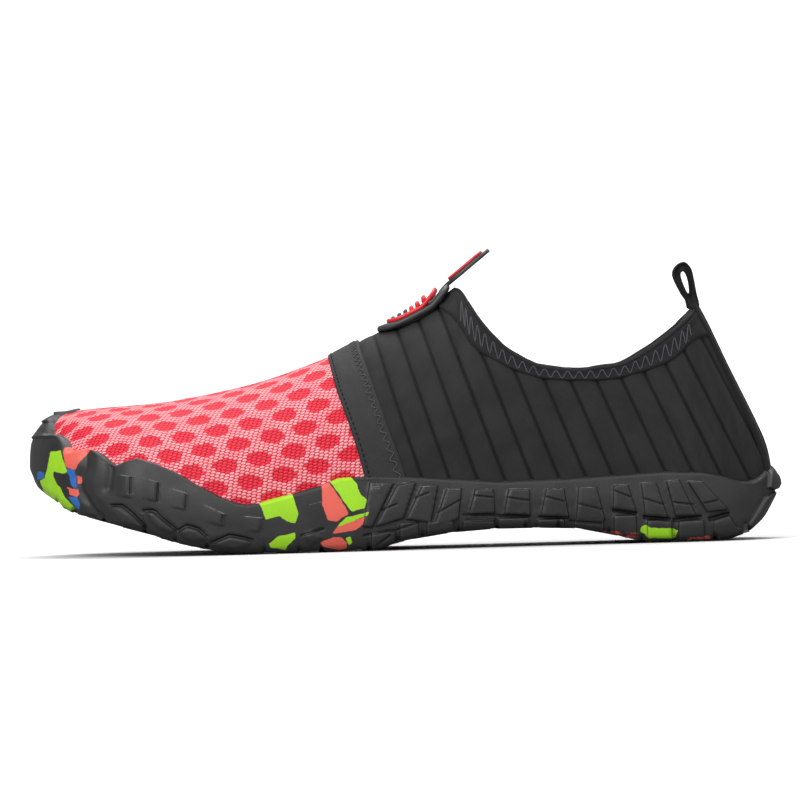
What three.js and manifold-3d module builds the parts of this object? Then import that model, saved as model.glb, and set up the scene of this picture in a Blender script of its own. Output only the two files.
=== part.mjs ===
// A slip-on training shoe for the left foot, with a knitted vamp, a stretch quarter and a moulded sole.
// Millimetres, +Z up, toe towards -X, outer side towards -Y, standing on its heel and forefoot.
import * as THREE from "three";
import { mergeVertices } from "three/addons/utils/BufferGeometryUtils.js";
import Module from "manifold-3d";

const { Manifold, Mesh } = await loadSolids();

// Main sizes
const length = 275; // over the sole, toe to heel
const ballWidth = 102; // over the sole at the ball
const instepHeight = 96; // floor to the front of the collar
const toeSpring = 24.5; // how far the toe's underside curves up
const archLift = 6.4; // floor to the sole under the arch
const heelRound = 11; // how far the heel's underside curves up
const rimHeight = 25; // floor to the edge of the sole at the waist

// Thicknesses and clearances
const gap = 0.3; // between two pieces that touch
const upperWall = 2;
const bedThickness = 8; // foot bed to floor, at the heel
const footWall = 4; // foot bed to the widest level of the foot's form
const soleEdge = 1.5; // sole wall at its edge
const soleWall = 3.5; // sole wall at its foot
const fineness = 0.03; // facets flatter than this are merged
const lugHeight = 2.6; // depth of the tread
const blockRelief = 1.1; // how far the side blocks stand out
const insoleThickness = 3.2;
const bandThickness = 0.9;
const bindingThickness = 1;
const tapeThickness = 1.6;
const tapeWidth = 20;
const badgeThickness = 1.7;
const frameThickness = 1.1;
const frameWidth = 2.2;

// The foot's form between its tip and its heel, shares of the length
const formTip = 0.9873;
const formHeel = 0.0127;
const heelRounding = 0.12; // length over which the plan closes
const toeRoundingOuter = 0.17;
const toeRoundingInner = 0.1;
const crossPower = 2.4; // 2 is an ellipse, more is boxier

// Plan of the foot's form, shares of the ball's width, measured from the line of its top
const plan = [
  { at: 0.0, centre: 0.0, outer: 0.286, inner: 0.289 },
  { at: 0.15, centre: 0.0, outer: 0.296, inner: 0.299 },
  { at: 0.25, centre: 0.0, outer: 0.316, inner: 0.309 },
  { at: 0.35, centre: 0.0, outer: 0.337, inner: 0.292 },
  { at: 0.45, centre: 0.0, outer: 0.362, inner: 0.289 },
  { at: 0.55, centre: 0.0, outer: 0.402, inner: 0.319 },
  { at: 0.65, centre: 0.005, outer: 0.448, inner: 0.383 },
  { at: 0.72, centre: 0.018, outer: 0.479, inner: 0.412 },
  { at: 0.8, centre: 0.045, outer: 0.487, inner: 0.397 },
  { at: 0.87, centre: 0.085, outer: 0.489, inner: 0.355 },
  { at: 0.93, centre: 0.125, outer: 0.499, inner: 0.31 },
  { at: 1.0, centre: 0.175, outer: 0.51, inner: 0.257 },
];

// Top line of the form as a share of the instep's height. Between 0.107 and 0.423 it is an ankle that is cut away
const topLine = [
  { at: 0.0127, top: 0.2 },
  { at: 0.0149, top: 0.281 },
  { at: 0.02, top: 0.354 },
  { at: 0.0316, top: 0.437 },
  { at: 0.0444, top: 0.517 },
  { at: 0.0571, top: 0.594 },
  { at: 0.0698, top: 0.672 },
  { at: 0.0818, top: 0.75 },
  { at: 0.0949, top: 0.833 },
  { at: 0.107, top: 0.901 },
  { at: 0.127, top: 1.01 },
  { at: 0.16, top: 1.1 },
  { at: 0.22, top: 1.15 },
  { at: 0.3, top: 1.14 },
  { at: 0.36, top: 1.09 },
  { at: 0.4, top: 1.03 },
  { at: 0.423, top: 0.982 },
  { at: 0.445, top: 0.938 },
  { at: 0.472, top: 0.893 },
  { at: 0.499, top: 0.857 },
  { at: 0.529, top: 0.824 },
  { at: 0.57, top: 0.772 },
  { at: 0.597, top: 0.735 },
  { at: 0.624, top: 0.707 },
  { at: 0.664, top: 0.668 },
  { at: 0.705, top: 0.636 },
  { at: 0.745, top: 0.6125 },
  { at: 0.786, top: 0.593 },
  { at: 0.826, top: 0.577 },
  { at: 0.866, top: 0.569 },
  { at: 0.906, top: 0.563 },
  { at: 0.936, top: 0.556 },
  { at: 0.9473, top: 0.549 },
  { at: 0.9618, top: 0.534 },
  { at: 0.9764, top: 0.502 },
  { at: 0.9836, top: 0.466 },
  { at: 0.9873, top: 0.415 },
];

// Underside of the sole. toe, arch and heel are shares of their three lifts, bed is a share of the bed's thickness
const underside = [
  { at: 0.0, toe: 0, arch: 0, heel: 1.8, bed: 0.2 },
  { at: 0.0127, toe: 0, arch: 0, heel: 1.2, bed: 0.36 },
  { at: 0.0287, toe: 0, arch: 0, heel: 0.55, bed: 0.62 },
  { at: 0.041, toe: 0, arch: 0, heel: 0.28, bed: 0.8 },
  { at: 0.056, toe: 0, arch: 0, heel: 0.12, bed: 0.92 },
  { at: 0.079, toe: 0, arch: 0, heel: 0, bed: 1.0 },
  { at: 0.172, toe: 0, arch: 0, heel: 0, bed: 1.0 },
  { at: 0.239, toe: 0, arch: 0.61, heel: 0, bed: 0.86 },
  { at: 0.29, toe: 0, arch: 0.95, heel: 0, bed: 0.78 },
  { at: 0.373, toe: 0, arch: 1.0, heel: 0, bed: 0.75 },
  { at: 0.43, toe: 0, arch: 0.88, heel: 0, bed: 0.74 },
  { at: 0.467, toe: 0, arch: 0.7, heel: 0, bed: 0.74 },
  { at: 0.507, toe: 0, arch: 0.4, heel: 0, bed: 0.78 },
  { at: 0.541, toe: 0, arch: 0, heel: 0, bed: 0.86 },
  { at: 0.708, toe: 0, arch: 0, heel: 0, bed: 0.86 },
  { at: 0.755, toe: 0.07, arch: 0, heel: 0, bed: 0.84 },
  { at: 0.801, toe: 0.18, arch: 0, heel: 0, bed: 0.8 },
  { at: 0.841, toe: 0.34, arch: 0, heel: 0, bed: 0.77 },
  { at: 0.884, toe: 0.473, arch: 0, heel: 0, bed: 0.75 },
  { at: 0.901, toe: 0.54, arch: 0, heel: 0, bed: 0.74 },
  { at: 0.941, toe: 0.657, arch: 0, heel: 0, bed: 0.72 },
  { at: 0.967, toe: 0.845, arch: 0, heel: 0, bed: 0.68 },
  { at: 0.987, toe: 1.0, arch: 0, heel: 0, bed: 0.6 },
  { at: 1.0, toe: 1.3, arch: 0, heel: 0, bed: 0.5 },
];

// Edge of the collar from the back to the front, heights are shares of the instep's height
const collarLine = [
  { at: 0.09, height: 0.915 },
  { at: 0.101, height: 0.897 },
  { at: 0.113, height: 0.868 },
  { at: 0.127, height: 0.833 },
  { at: 0.155, height: 0.771 },
  { at: 0.182, height: 0.723 },
  { at: 0.209, height: 0.686 },
  { at: 0.236, height: 0.677 },
  { at: 0.263, height: 0.668 },
  { at: 0.289, height: 0.674 },
  { at: 0.316, height: 0.6875 },
  { at: 0.33, height: 0.703 },
  { at: 0.343, height: 0.724 },
  { at: 0.356, height: 0.748 },
  { at: 0.369, height: 0.783 },
  { at: 0.382, height: 0.823 },
  { at: 0.395, height: 0.874 },
  { at: 0.408, height: 0.936 },
  { at: 0.418, height: 0.975 },
  { at: 0.423, height: 0.98 },
];

// Lower edge of the collar's binding
const bindingLine = [
  { at: 0.09, height: 0.775 },
  { at: 0.112, height: 0.752 },
  { at: 0.139, height: 0.685 },
  { at: 0.18, height: 0.643 },
  { at: 0.234, height: 0.616 },
  { at: 0.287, height: 0.62 },
  { at: 0.314, height: 0.629 },
  { at: 0.351, height: 0.664 },
  { at: 0.38, height: 0.707 },
  { at: 0.407, height: 0.764 },
  { at: 0.415, height: 0.806 },
  { at: 0.432, height: 0.873 },
  { at: 0.446, height: 0.91 },
];

// Edge of the sole on the outer side from heel to toe, heights are shares of the rim's height
const outerRim = [
  { at: -0.01, height: 1.26 },
  { at: 0.006, height: 1.166 },
  { at: 0.012, height: 1.048 },
  { at: 0.019, height: 0.944 },
  { at: 0.027, height: 0.876 },
  { at: 0.036, height: 0.84 },
  { at: 0.05, height: 0.852 },
  { at: 0.076, height: 0.932 },
  { at: 0.103, height: 0.992 },
  { at: 0.157, height: 1.016 },
  { at: 0.21, height: 0.988 },
  { at: 0.291, height: 0.952 },
  { at: 0.371, height: 0.94 },
  { at: 0.451, height: 1.008 },
  { at: 0.505, height: 1.052 },
  { at: 0.552, height: 1.072 },
  { at: 0.585, height: 1.052 },
  { at: 0.609, height: 0.956 },
  { at: 0.653, height: 0.832 },
  { at: 0.691, height: 0.732 },
  { at: 0.707, height: 0.716 },
  { at: 0.72, height: 0.74 },
  { at: 0.746, height: 0.864 },
  { at: 0.773, height: 1.036 },
  { at: 0.799, height: 1.22 },
  { at: 0.825, height: 1.36 },
  { at: 0.851, height: 1.456 },
  { at: 0.868, height: 1.404 },
  { at: 0.882, height: 1.348 },
  { at: 0.893, height: 1.456 },
  { at: 0.901, height: 1.544 },
  { at: 0.916, height: 1.608 },
  { at: 0.935, height: 1.584 },
  { at: 0.943, height: 1.556 },
  { at: 0.951, height: 1.764 },
  { at: 0.961, height: 1.828 },
  { at: 0.975, height: 1.816 },
  { at: 0.971, height: 1.992 },
  { at: 0.962, height: 2.092 },
  { at: 0.949, height: 2.148 },
  { at: 0.937, height: 2.2 },
];

// Edge of the sole on the inner side, over the big toe
const innerRim = [
  { at: -0.01, height: 1.26 },
  { at: 0.006, height: 1.166 },
  { at: 0.019, height: 0.944 },
  { at: 0.036, height: 0.84 },
  { at: 0.076, height: 0.932 },
  { at: 0.157, height: 1.016 },
  { at: 0.291, height: 0.96 },
  { at: 0.371, height: 0.98 },
  { at: 0.451, height: 1.04 },
  { at: 0.53, height: 1.07 },
  { at: 0.6, height: 0.94 },
  { at: 0.67, height: 0.84 },
  { at: 0.73, height: 0.96 },
  { at: 0.785, height: 1.3 },
  { at: 0.835, height: 1.5 },
  { at: 0.885, height: 1.72 },
  { at: 0.925, height: 1.98 },
  { at: 0.937, height: 2.2 },
];

// Vamp band in the side view: where its front and back edges lie at the top, the middle and the sole
const bandEdges = [
  { height: 1.2, front: 0.63, back: 0.58 },
  { height: 0.75, front: 0.598, back: 0.552 },
  { height: 0.608, front: 0.586, back: 0.535 },
  { height: 0.473, front: 0.57, back: 0.52 },
  { height: 0.376, front: 0.56, back: 0.508 },
  { height: 0.2, front: 0.545, back: 0.49 },
];

// Side blocks from heel to toe. top and foot are where the block starts and ends along the sole, high and low
// are heights as shares of the rim's height
const sideBlocks = [
  { top: [0.079, 0.096], foot: [0.046, 0.076], high: 0.87, low: 0.42 },
  { top: [0.107, 0.126], foot: [0.086, 0.115], high: 0.87, low: 0.35 },
  { top: [0.138, 0.158], foot: [0.124, 0.154], high: 0.87, low: 0.34 },
  { top: [0.176, 0.193], foot: [0.164, 0.196], high: 0.85, low: 0.4 },
  { top: [0.217, 0.241], foot: [0.206, 0.244], high: 0.83, low: 0.36 },
  { top: [0.26, 0.284], foot: [0.253, 0.29], high: 0.82, low: 0.38 },
  { top: [0.306, 0.334], foot: [0.305, 0.34], high: 0.83, low: 0.4 },
  { top: [0.354, 0.378], foot: [0.353, 0.388], high: 0.85, low: 0.42 },
  { top: [0.397, 0.416], foot: [0.401, 0.436], high: 0.88, low: 0.4 },
  { top: [0.429, 0.45], foot: [0.438, 0.476], high: 0.92, low: 0.36 },
  { top: [0.46, 0.484], foot: [0.476, 0.512], high: 0.95, low: 0.33 },
  { top: [0.496, 0.53], foot: [0.52, 0.55], high: 0.95, low: 0.3 },
  { top: [0.6, 0.626], foot: [0.6, 0.63], high: 0.7, low: 0.16 },
  { top: [0.685, 0.712], foot: [0.67, 0.7], high: 0.54, low: 0.16 },
  { top: [0.735, 0.762], foot: [0.72, 0.745], high: 0.66, low: 0.26 },
  { top: [0.786, 0.806], foot: [0.77, 0.79], high: 0.9, low: 0.44 },
  { top: [0.822, 0.838], foot: [0.806, 0.824], high: 1.1, low: 0.62 },
  { top: [0.858, 0.88], foot: [0.845, 0.865], high: 1.2, low: 0.8 },
];

// Rows of the tread across the sole. Each row has pads whose centres and widths are shares of the local width
const treadRows = [
  { from: 0.052, to: 0.098, pads: 2 },
  { from: 0.113, to: 0.155, pads: 3 },
  { from: 0.17, to: 0.212, pads: 3 },
  { from: 0.228, to: 0.268, pads: 2 },
  { from: 0.284, to: 0.324, pads: 2 },
  { from: 0.34, to: 0.38, pads: 2 },
  { from: 0.396, to: 0.436, pads: 2 },
  { from: 0.452, to: 0.492, pads: 3 },
  { from: 0.51, to: 0.55, pads: 3 },
  { from: 0.566, to: 0.606, pads: 4 },
  { from: 0.622, to: 0.662, pads: 4 },
  { from: 0.678, to: 0.716, pads: 4 },
  { from: 0.732, to: 0.772, pads: 4 },
  { from: 0.788, to: 0.824, pads: 4 },
  { from: 0.84, to: 0.874, pads: 3 },
  { from: 0.89, to: 0.92, pads: 3 },
  { from: 0.934, to: 0.956, pads: 2 },
];
const treadCover = 0.8; // how much of the width the pads take up
const padGap = 4;
const treadInset = 2.2; // from the sole's outer wall

// Shape of the instep badge from above, x is from its back end, half is its half width, in shares of its length
const badgeBack = 0.431; // shares of the shoe's length
const badgeFront = 0.5275;
const badgePlan = [
  { along: 0.0, half: 0.3 },
  { along: 0.06, half: 0.42 },
  { along: 0.35, half: 0.47 },
  { along: 0.65, half: 0.47 },
  { along: 0.9, half: 0.4 },
  { along: 1.0, half: 0.27 },
];
const badgeRibs = [0.52, 0.66, 0.8];
const ribWidth = 1.4;
const ribHeight = 1.5;

// Pull tab, from its root on the collar's front
const tab = { at: 0.431, height: 1.0, length: 19, width: 13, base: 1.2, inlay: 0.8, tilt: 40 };

// Heel loop seen from the side, offsets from the back of the collar's edge
const loopFoot = { at: 0.1073, height: 0.901 };
const loopOuter = [
  { x: 2.3, z: -1.5 },
  { x: 1.4, z: 4.4 },
  { x: 0.7, z: 8.9 },
  { x: -0.3, z: 13.1 },
  { x: -2.7, z: 15.6 },
  { x: -5.7, z: 14.4 },
  { x: -7.1, z: 10.9 },
  { x: -4.6, z: 4.8 },
  { x: -2.4, z: 1.2 },
  { x: -1.8, z: -1.5 },
];
const loopHole = [
  { x: -1.1, z: 4.2 },
  { x: -1.2, z: 7.4 },
  { x: -1.9, z: 10.6 },
  { x: -3.0, z: 12.2 },
  { x: -4.2, z: 11.0 },
  { x: -3.4, z: 7.6 },
  { x: -2.0, z: 4.4 },
];
const loopWidth = 10;

// Interpolates one column of a table without overshoot
function column(rows, value, key = "at") {
  const xs = rows.map((row) => row[key]);
  const ys = rows.map((row) => row[value]);
  const slopes = xs.slice(1).map((x, i) => (ys[i + 1] - ys[i]) / (x - xs[i]));
  const tangents = xs.map((_, i) => {
    if (i === 0) return slopes[0];
    if (i === xs.length - 1) return slopes[i - 1];
    const [before, after] = [slopes[i - 1], slopes[i]];
    return before * after <= 0 ? 0 : (2 * before * after) / (before + after);
  });
  return (x) => {
    if (x <= xs[0]) return ys[0];
    if (x >= xs.at(-1)) return ys.at(-1);
    const i = xs.findIndex((edge) => edge > x) - 1;
    const step = xs[i + 1] - xs[i];
    const s = (x - xs[i]) / step;
    const rise = s * s * (3 - 2 * s);
    const bend = step * s * (1 - s) * ((1 - s) * tangents[i] - s * tangents[i + 1]);
    return ys[i] + (ys[i + 1] - ys[i]) * rise + bend;
  };
}

const shareAt = (x) => 0.5 - x / length;
const xAt = (share) => (0.5 - share) * length;
const planCentre = column(plan, "centre");
const planOuter = column(plan, "outer");
const planInner = column(plan, "inner");
const topShare = column(topLine, "top");
const toeShare = column(underside, "toe");
const archShare = column(underside, "arch");
const heelShare = column(underside, "heel");
const bedShare = column(underside, "bed");

const topHeight = (x) => topShare(shareAt(x)) * instepHeight;
const centreLine = (x) => planCentre(shareAt(x)) * ballWidth;

// Height of the tread's lowest points
function treadHeight(x) {
  const at = shareAt(x);
  return toeShare(at) * toeSpring + archShare(at) * archLift + heelShare(at) * heelRound;
}

const bedHeight = (x) => treadHeight(x) + bedShare(shareAt(x)) * bedThickness;

// Share of the full width left where the plan closes over its last stretch
function rounding(distance, reach) {
  const t = THREE.MathUtils.clamp(distance / reach, 0, 1);
  return Math.sqrt(1 - (1 - t) ** 2);
}

// Half width of the form at its widest level. side is -1 on the outer side and 1 on the inner side
function halfWidth(x, side) {
  const at = shareAt(x);
  const share = side < 0 ? planOuter(at) : planInner(at);
  const toe = side < 0 ? toeRoundingOuter : toeRoundingInner;
  const ends = rounding(formTip - at, toe) * rounding(at - formHeel, heelRounding);
  return Math.max(share * ballWidth * ends, 0.001);
}

const baseHeight = (x) => bedHeight(x) + footWall;

// Zero on the form's surface, above zero outside
function formField(x, y, z) {
  const side = Math.sign(y - centreLine(x)) || 1;
  const across = (y - centreLine(x)) / halfWidth(x, side);
  const up = Math.max((z - baseHeight(x)) / Math.max(topHeight(x) - baseHeight(x), 1), 0);
  return across ** 2 + up ** crossPower - 1;
}

function formNormal(x, y, z) {
  const step = 0.01;
  const inside = THREE.MathUtils.clamp(x, xAt(formTip) + step * 2, xAt(formHeel) - step * 2);
  return new THREE.Vector3(
    formField(inside + step, y, z) - formField(inside - step, y, z),
    formField(inside, y + step, z) - formField(inside, y - step, z),
    formField(inside, y, z + step) - formField(inside, y, z - step),
  ).normalize();
}

// Point of the form seen at x and z from the given side
function formPoint(x, z, side) {
  const up = Math.max((z - baseHeight(x)) / Math.max(topHeight(x) - baseHeight(x), 1), 0);
  const across = Math.sqrt(Math.max(1 - up ** crossPower, 0));
  return new THREE.Vector3(x, centreLine(x) + side * halfWidth(x, side) * across, z);
}

// Closed skin over rings of points. Each ring is a loop, the first and last are capped
function skin(rings) {
  const around = rings[0].length;
  const positions = rings.flat().flatMap((point) => [point.x, point.y, point.z]);
  const faces = [];
  const quad = (a, b, c, d) => faces.push(a, b, c, a, c, d);
  for (let i = 0; i + 1 < rings.length; i++) {
    for (let j = 0; j < around; j++) {
      const k = (j + 1) % around;
      quad(i * around + j, (i + 1) * around + j, (i + 1) * around + k, i * around + k);
    }
  }
  for (const [start, turn] of [[0, 1], [(rings.length - 1) * around, -1]]) {
    for (let j = 0; j < around / 2 - 1; j++) {
      const [a, b] = [start + j, start + j + 1];
      const [c, d] = [start + around - 2 - j, start + around - 1 - j];
      const strip = b === c ? [[a, b, d]] : [[a, b, c], [a, c, d]];
      for (const [p, q, r] of strip) faces.push(...(turn > 0 ? [p, q, r] : [p, r, q]));
    }
  }
  const geometry = new THREE.BufferGeometry();
  geometry.setAttribute("position", new THREE.Float32BufferAttribute(positions, 3));
  geometry.setIndex(faces);
  return solid(geometry);
}

async function loadSolids() {
  const wasm = await Module();
  wasm.setup();
  return wasm;
}

// Turns a three.js geometry into a solid that can be joined and cut
function solid(geometry) {
  const bare = new THREE.BufferGeometry();
  bare.setAttribute("position", geometry.getAttribute("position"));
  bare.setIndex(geometry.getIndex());
  const merged = mergeVertices(bare, 1e-4);
  const mesh = new Mesh({
    numProp: 3,
    vertProperties: new Float32Array(merged.getAttribute("position").array),
    triVerts: new Uint32Array(merged.getIndex().array),
  });
  const made = new Manifold(mesh);
  return made.volume() < 0 ? Manifold.ofMesh(flipped(mesh)) : made;
}

function flipped(mesh) {
  const turned = mesh.triVerts.slice();
  for (let i = 0; i < turned.length; i += 3) [turned[i + 1], turned[i + 2]] = [turned[i + 2], turned[i + 1]];
  return new Mesh({ numProp: 3, vertProperties: mesh.vertProperties, triVerts: turned });
}

// Places along the form, closer together near both ends
const stations = 40;
const stationShares = Array.from({ length: stations }, (_, i) => {
  const even = i / (stations - 1);
  const eased = 0.5 - 0.5 * Math.cos(Math.PI * even);
  return THREE.MathUtils.lerp(formTip - 0.0006, formHeel + 0.0006, 0.45 * even + 0.55 * eased);
});

// Angles round the form's arch, from the outer side to the inner side
const arcSteps = 20;
const arcAngles = Array.from({ length: arcSteps + 1 }, (_, i) => (Math.PI * i) / arcSteps);

// Grows the form evenly, down to a little below the foot bed
function form(grow) {
  const rings = stationShares.map((share) => {
    const x = xAt(share);
    const [low, high] = [baseHeight(x), topHeight(x)];
    const arch = arcAngles.map((angle) => {
      const side = angle <= Math.PI / 2 ? -1 : 1;
      const z = low + (high - low) * Math.sin(angle) ** (2 / crossPower);
      const y = centreLine(x) + side * halfWidth(x, side) * Math.abs(Math.cos(angle));
      return new THREE.Vector3(x, y, z).addScaledVector(formNormal(x, y, z), grow);
    });
    const [first, last] = [arch[0], arch.at(-1)];
    const foot = (point) => new THREE.Vector3(point.x, point.y, bedHeight(point.x) - 1);
    return [foot(first), ...arch, foot(last)];
  });
  return skin(rings);
}

// Prism across the shoe with an outline given in the side view
function sidePrism(points, from = -length, to = length) {
  const outline = new THREE.Shape(points.map(([x, z]) => new THREE.Vector2(x, z)));
  const geometry = new THREE.ExtrudeGeometry(outline, { depth: to - from, bevelEnabled: false });
  geometry.rotateX(Math.PI / 2);
  geometry.translate(0, to, 0);
  return solid(geometry);
}

// Prism with an outline given from above
function plumbPrism(points, from, to) {
  const outline = new THREE.Shape(points.map(([x, y]) => new THREE.Vector2(x, y)));
  const geometry = new THREE.ExtrudeGeometry(outline, { depth: to - from, bevelEnabled: false });
  geometry.translate(0, 0, from);
  return solid(geometry);
}

function box(x0, x1, y0, y1, z0, z1) {
  const geometry = new THREE.BoxGeometry(x1 - x0, y1 - y0, z1 - z0);
  geometry.translate((x0 + x1) / 2, (y0 + y1) / 2, (z0 + z1) / 2);
  return solid(geometry);
}

const join = (...parts) => Manifold.union(parts);
const sideLine = (rows, unit, lift = 0) => rows.map((row) => [xAt(row.at), row.height * unit + lift]);

// Everything above the sole's edge, one outline per side, meeting on the line of the form's top
function aboveRim(lift) {
  const halves = [outerRim, innerRim].map((rows, i) => {
    const line = sideLine(rows, rimHeight, lift).map(([x, z]) => [x - Math.sign(x) * lift, z]);
    const [toeX] = line.at(-1);
    const [heelX] = line[0];
    const points = [...line, [toeX, instepHeight * 1.6], [heelX, instepHeight * 1.6]];
    const middle = centreStrip(i === 0 ? -1 : 1);
    return sidePrism(points).intersect(middle);
  });
  return join(...halves);
}

// Half space on one side of the line of the form's top
function centreStrip(side) {
  const line = stationShares.map((share) => [xAt(share), centreLine(xAt(share))]);
  const [far, wide] = [length * 0.62, side * ballWidth * 1.5];
  const points = [[-far, line[0][1]], ...line, [far, line.at(-1)[1]], [far, wide], [-far, wide]];
  return plumbPrism(points, -instepHeight / 2, instepHeight * 2);
}

// Region above or below a floor line, as a prism in the side view
function slab(floor, from, to) {
  const line = Array.from({ length: 61 }, (_, i) => (i / 60 - 0.5) * 1.09 * length).map((x) => [x, floor(x)]);
  const low = line.map(([x, z]) => [x, z + from]);
  const high = line.map(([x, z]) => [x, z + to]).reverse();
  return sidePrism([...low, ...high]);
}

const collarPoints = sideLine(collarLine, instepHeight);
const collarFront = xAt(collarLine.at(-1).at);

// Space over the collar, optionally dropped by a clearance
function aboveCollar(drop = 0) {
  const line = collarPoints.map(([x, z]) => [x, z - drop]);
    const [back, high] = [length * 0.51, instepHeight * 2];
  return sidePrism([[back, line[0][1]], ...line, [collarFront - drop, high], [back, high]]);
}

// Shell between two growths of the form
const shell = (from, to) => form(to).subtract(form(from));

function makeUpper() {
  const walls = shell(-upperWall, 0);
  return walls.subtract(aboveCollar()).subtract(slab(bedHeight, -rimHeight * 2, gap));
}

function makeInsole() {
  return form(-upperWall - gap).intersect(slab(bedHeight, gap, gap + insoleThickness));
}

// Sole wall gets thinner towards its edge
function wallThickness(x, z) {
  const ridge = instepHeight * 0.56;
  const edge = THREE.MathUtils.lerp(rimHeight, ridge, THREE.MathUtils.smoothstep(shareAt(x), 0.72, 0.93));
  const low = baseHeight(x);
  const share = THREE.MathUtils.clamp((z - low) / Math.max(edge - low, 4), 0, 1);
  return THREE.MathUtils.lerp(soleWall, soleEdge, share ** 1.5);
}

const lugDepth = (x) => {
  const at = shareAt(x);
  return lugHeight * THREE.MathUtils.smoothstep(at, 0.0, 0.06) * (1 - 0.75 * THREE.MathUtils.smoothstep(at, 0.8, 0.99));
};
const plateHeight = (x) => treadHeight(x) + lugDepth(x);

// Levels of the sole's wall below the form's widest level: how far down and how much the wall draws in
const footSteps = [
  { down: 0.45, grow: 1.0 },
  { down: 0.8, grow: 0.75 },
  { down: 1.0, grow: 0.1 },
];

function makeSoleBody() {
  const rings = stationShares.map((share) => {
    const x = xAt(share);
    const [low, high] = [baseHeight(x), topHeight(x)];
    const arch = arcAngles.map((angle) => {
      const side = angle <= Math.PI / 2 ? -1 : 1;
      const z = low + (high - low) * Math.sin(angle) ** (2 / crossPower);
      const y = centreLine(x) + side * halfWidth(x, side) * Math.abs(Math.cos(angle));
      return new THREE.Vector3(x, y, z).addScaledVector(formNormal(x, y, z), wallThickness(x, z));
    });
    const foot = (side) => {
      const y = centreLine(x) + side * halfWidth(x, side);
      const normal = formNormal(x, y, low);
      return footSteps.map((row) => {
        const point = new THREE.Vector3(x, y, low).addScaledVector(normal, soleWall * row.grow);
        point.z = THREE.MathUtils.lerp(low, plateHeight(point.x), row.down);
        return point;
      });
    };
    return [...foot(-1).reverse(), ...arch, ...foot(1)];
  });
  return skin(rings);
}

// Block with four corners on the sole's wall, standing out by the blocks' relief
function sideBlock(row, side) {
  const corners = [
    [row.foot[0], row.low],
    [row.foot[1], row.low],
    [row.top[1], row.high],
    [row.top[0], row.high],
  ];
  const layer = (depth) =>
    corners.map(([at, height]) => {
      const x = xAt(at);
      const z = height * rimHeight;
      const point = formPoint(x, z, side);
      return point.addScaledVector(formNormal(x, point.y, z), wallThickness(x, z) + depth);
    });
  return skin([layer(-1.6), layer(blockRelief)]);
}

// Pads of one row of the tread
function treadPads(row) {
  const middle = xAt((row.from + row.to) / 2);
  const [outer, inner] = [-1, 1].map(
    (side) => centreLine(middle) + side * (halfWidth(middle, side) + soleWall * 0.6 - treadInset),
  );
  const span = inner - outer;
  const width = (span - padGap * (row.pads - 1)) / row.pads;
  return Array.from({ length: row.pads }, (_, i) => {
    const y0 = outer + i * (width + padGap);
    const [x0, x1] = [xAt(row.to), xAt(row.from)];
    const ring = (x, inset) =>
      [
        [y0 + inset, treadHeight(x)],
        [y0 + width - inset, treadHeight(x)],
        [y0 + width - inset, plateHeight(x) + 1],
        [y0 + inset, plateHeight(x) + 1],
      ].map(([y, z]) => new THREE.Vector3(x, y, z));
    return skin([ring(x0, 0.8), ring((x0 + x1) / 2, 0), ring(x1, 0.8)]);
  });
}

function makeOutsole() {
  const foot = form(gap).intersect(slab(bedHeight, 0, instepHeight * 1.6));
  const body = makeSoleBody().subtract(foot).subtract(aboveRim(0));
  const blocks = [-1, 1].flatMap((side) => sideBlocks.map((row) => sideBlock(row, side)));
  const pads = treadRows.flatMap(treadPads);
  return join(body, ...blocks, ...pads).subtract(foot);
}

function bandPrism(grow = 0) {
  const front = bandEdges.map((row) => [xAt(row.front) - grow, row.height * instepHeight]);
  const back = bandEdges.map((row) => [xAt(row.back) + grow, row.height * instepHeight]).reverse();
  return sidePrism([...front, ...back]);
}

function makeBand() {
  return shell(gap, gap + bandThickness).intersect(bandPrism()).intersect(aboveRim(gap));
}

const badgeLength = (badgeFront - badgeBack) * length;
const badgeOutline = (inset) => {
  const half = column(badgePlan, "half", "along");
  const steps = Array.from({ length: 13 }, (_, i) => i / 12);
  const edge = (sign) =>
    steps.map((along) => {
      const x = THREE.MathUtils.lerp(xAt(badgeBack) - inset, xAt(badgeFront) + inset, along);
      return [x, centreLine(x) + sign * (half(along) * badgeLength - inset)];
    });
  return plumbPrism([...edge(-1), ...edge(1).reverse()], instepHeight * 0.5, instepHeight * 1.4);
};

function makeBinding() {
  const line = sideLine(bindingLine, instepHeight);
  const [back, high] = [length * 0.51, instepHeight * 1.6];
  const region = sidePrism([[back, line[0][1]], ...line, [line.at(-1)[0], high], [back, high]]);
  return shell(gap, gap + bindingThickness)
    .intersect(region)
    .subtract(aboveCollar())
    .subtract(tapeBox(gap))
    .subtract(badgeOutline(-gap));
}

function tapeBox(grow) {
  const half = tapeWidth / 2 + grow;
  return box(xAt(0.155), xAt(-0.03), -half, half, -rimHeight, instepHeight * 1.3);
}

function makeTape() {
  return shell(gap, gap + tapeThickness)
    .intersect(tapeBox(0))
    .subtract(aboveCollar())
    .intersect(aboveRim(gap));
}

function makeLoop() {
  const [footX, footZ] = [xAt(loopFoot.at), loopFoot.height * instepHeight];
  const trace = (rows) => rows.map((row) => new THREE.Vector2(footX + row.x, footZ + row.z));
  const outline = new THREE.Shape();
  const [first, ...rest] = trace(loopOuter);
  outline.moveTo(first.x, first.y);
  outline.splineThru(rest);
  outline.closePath();
  const hole = new THREE.Path(new THREE.SplineCurve([...trace(loopHole), trace(loopHole)[0]]).getPoints(16));
  outline.holes.push(hole);
  const options = { depth: loopWidth, bevelEnabled: false, curveSegments: 3 };
  const geometry = new THREE.ExtrudeGeometry(outline, options);
  geometry.rotateX(Math.PI / 2);
  geometry.translate(0, loopWidth / 2, 0);
  const clear = form(gap * 2 + tapeThickness).subtract(aboveCollar(-gap));
  return solid(geometry).subtract(clear);
}

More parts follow.
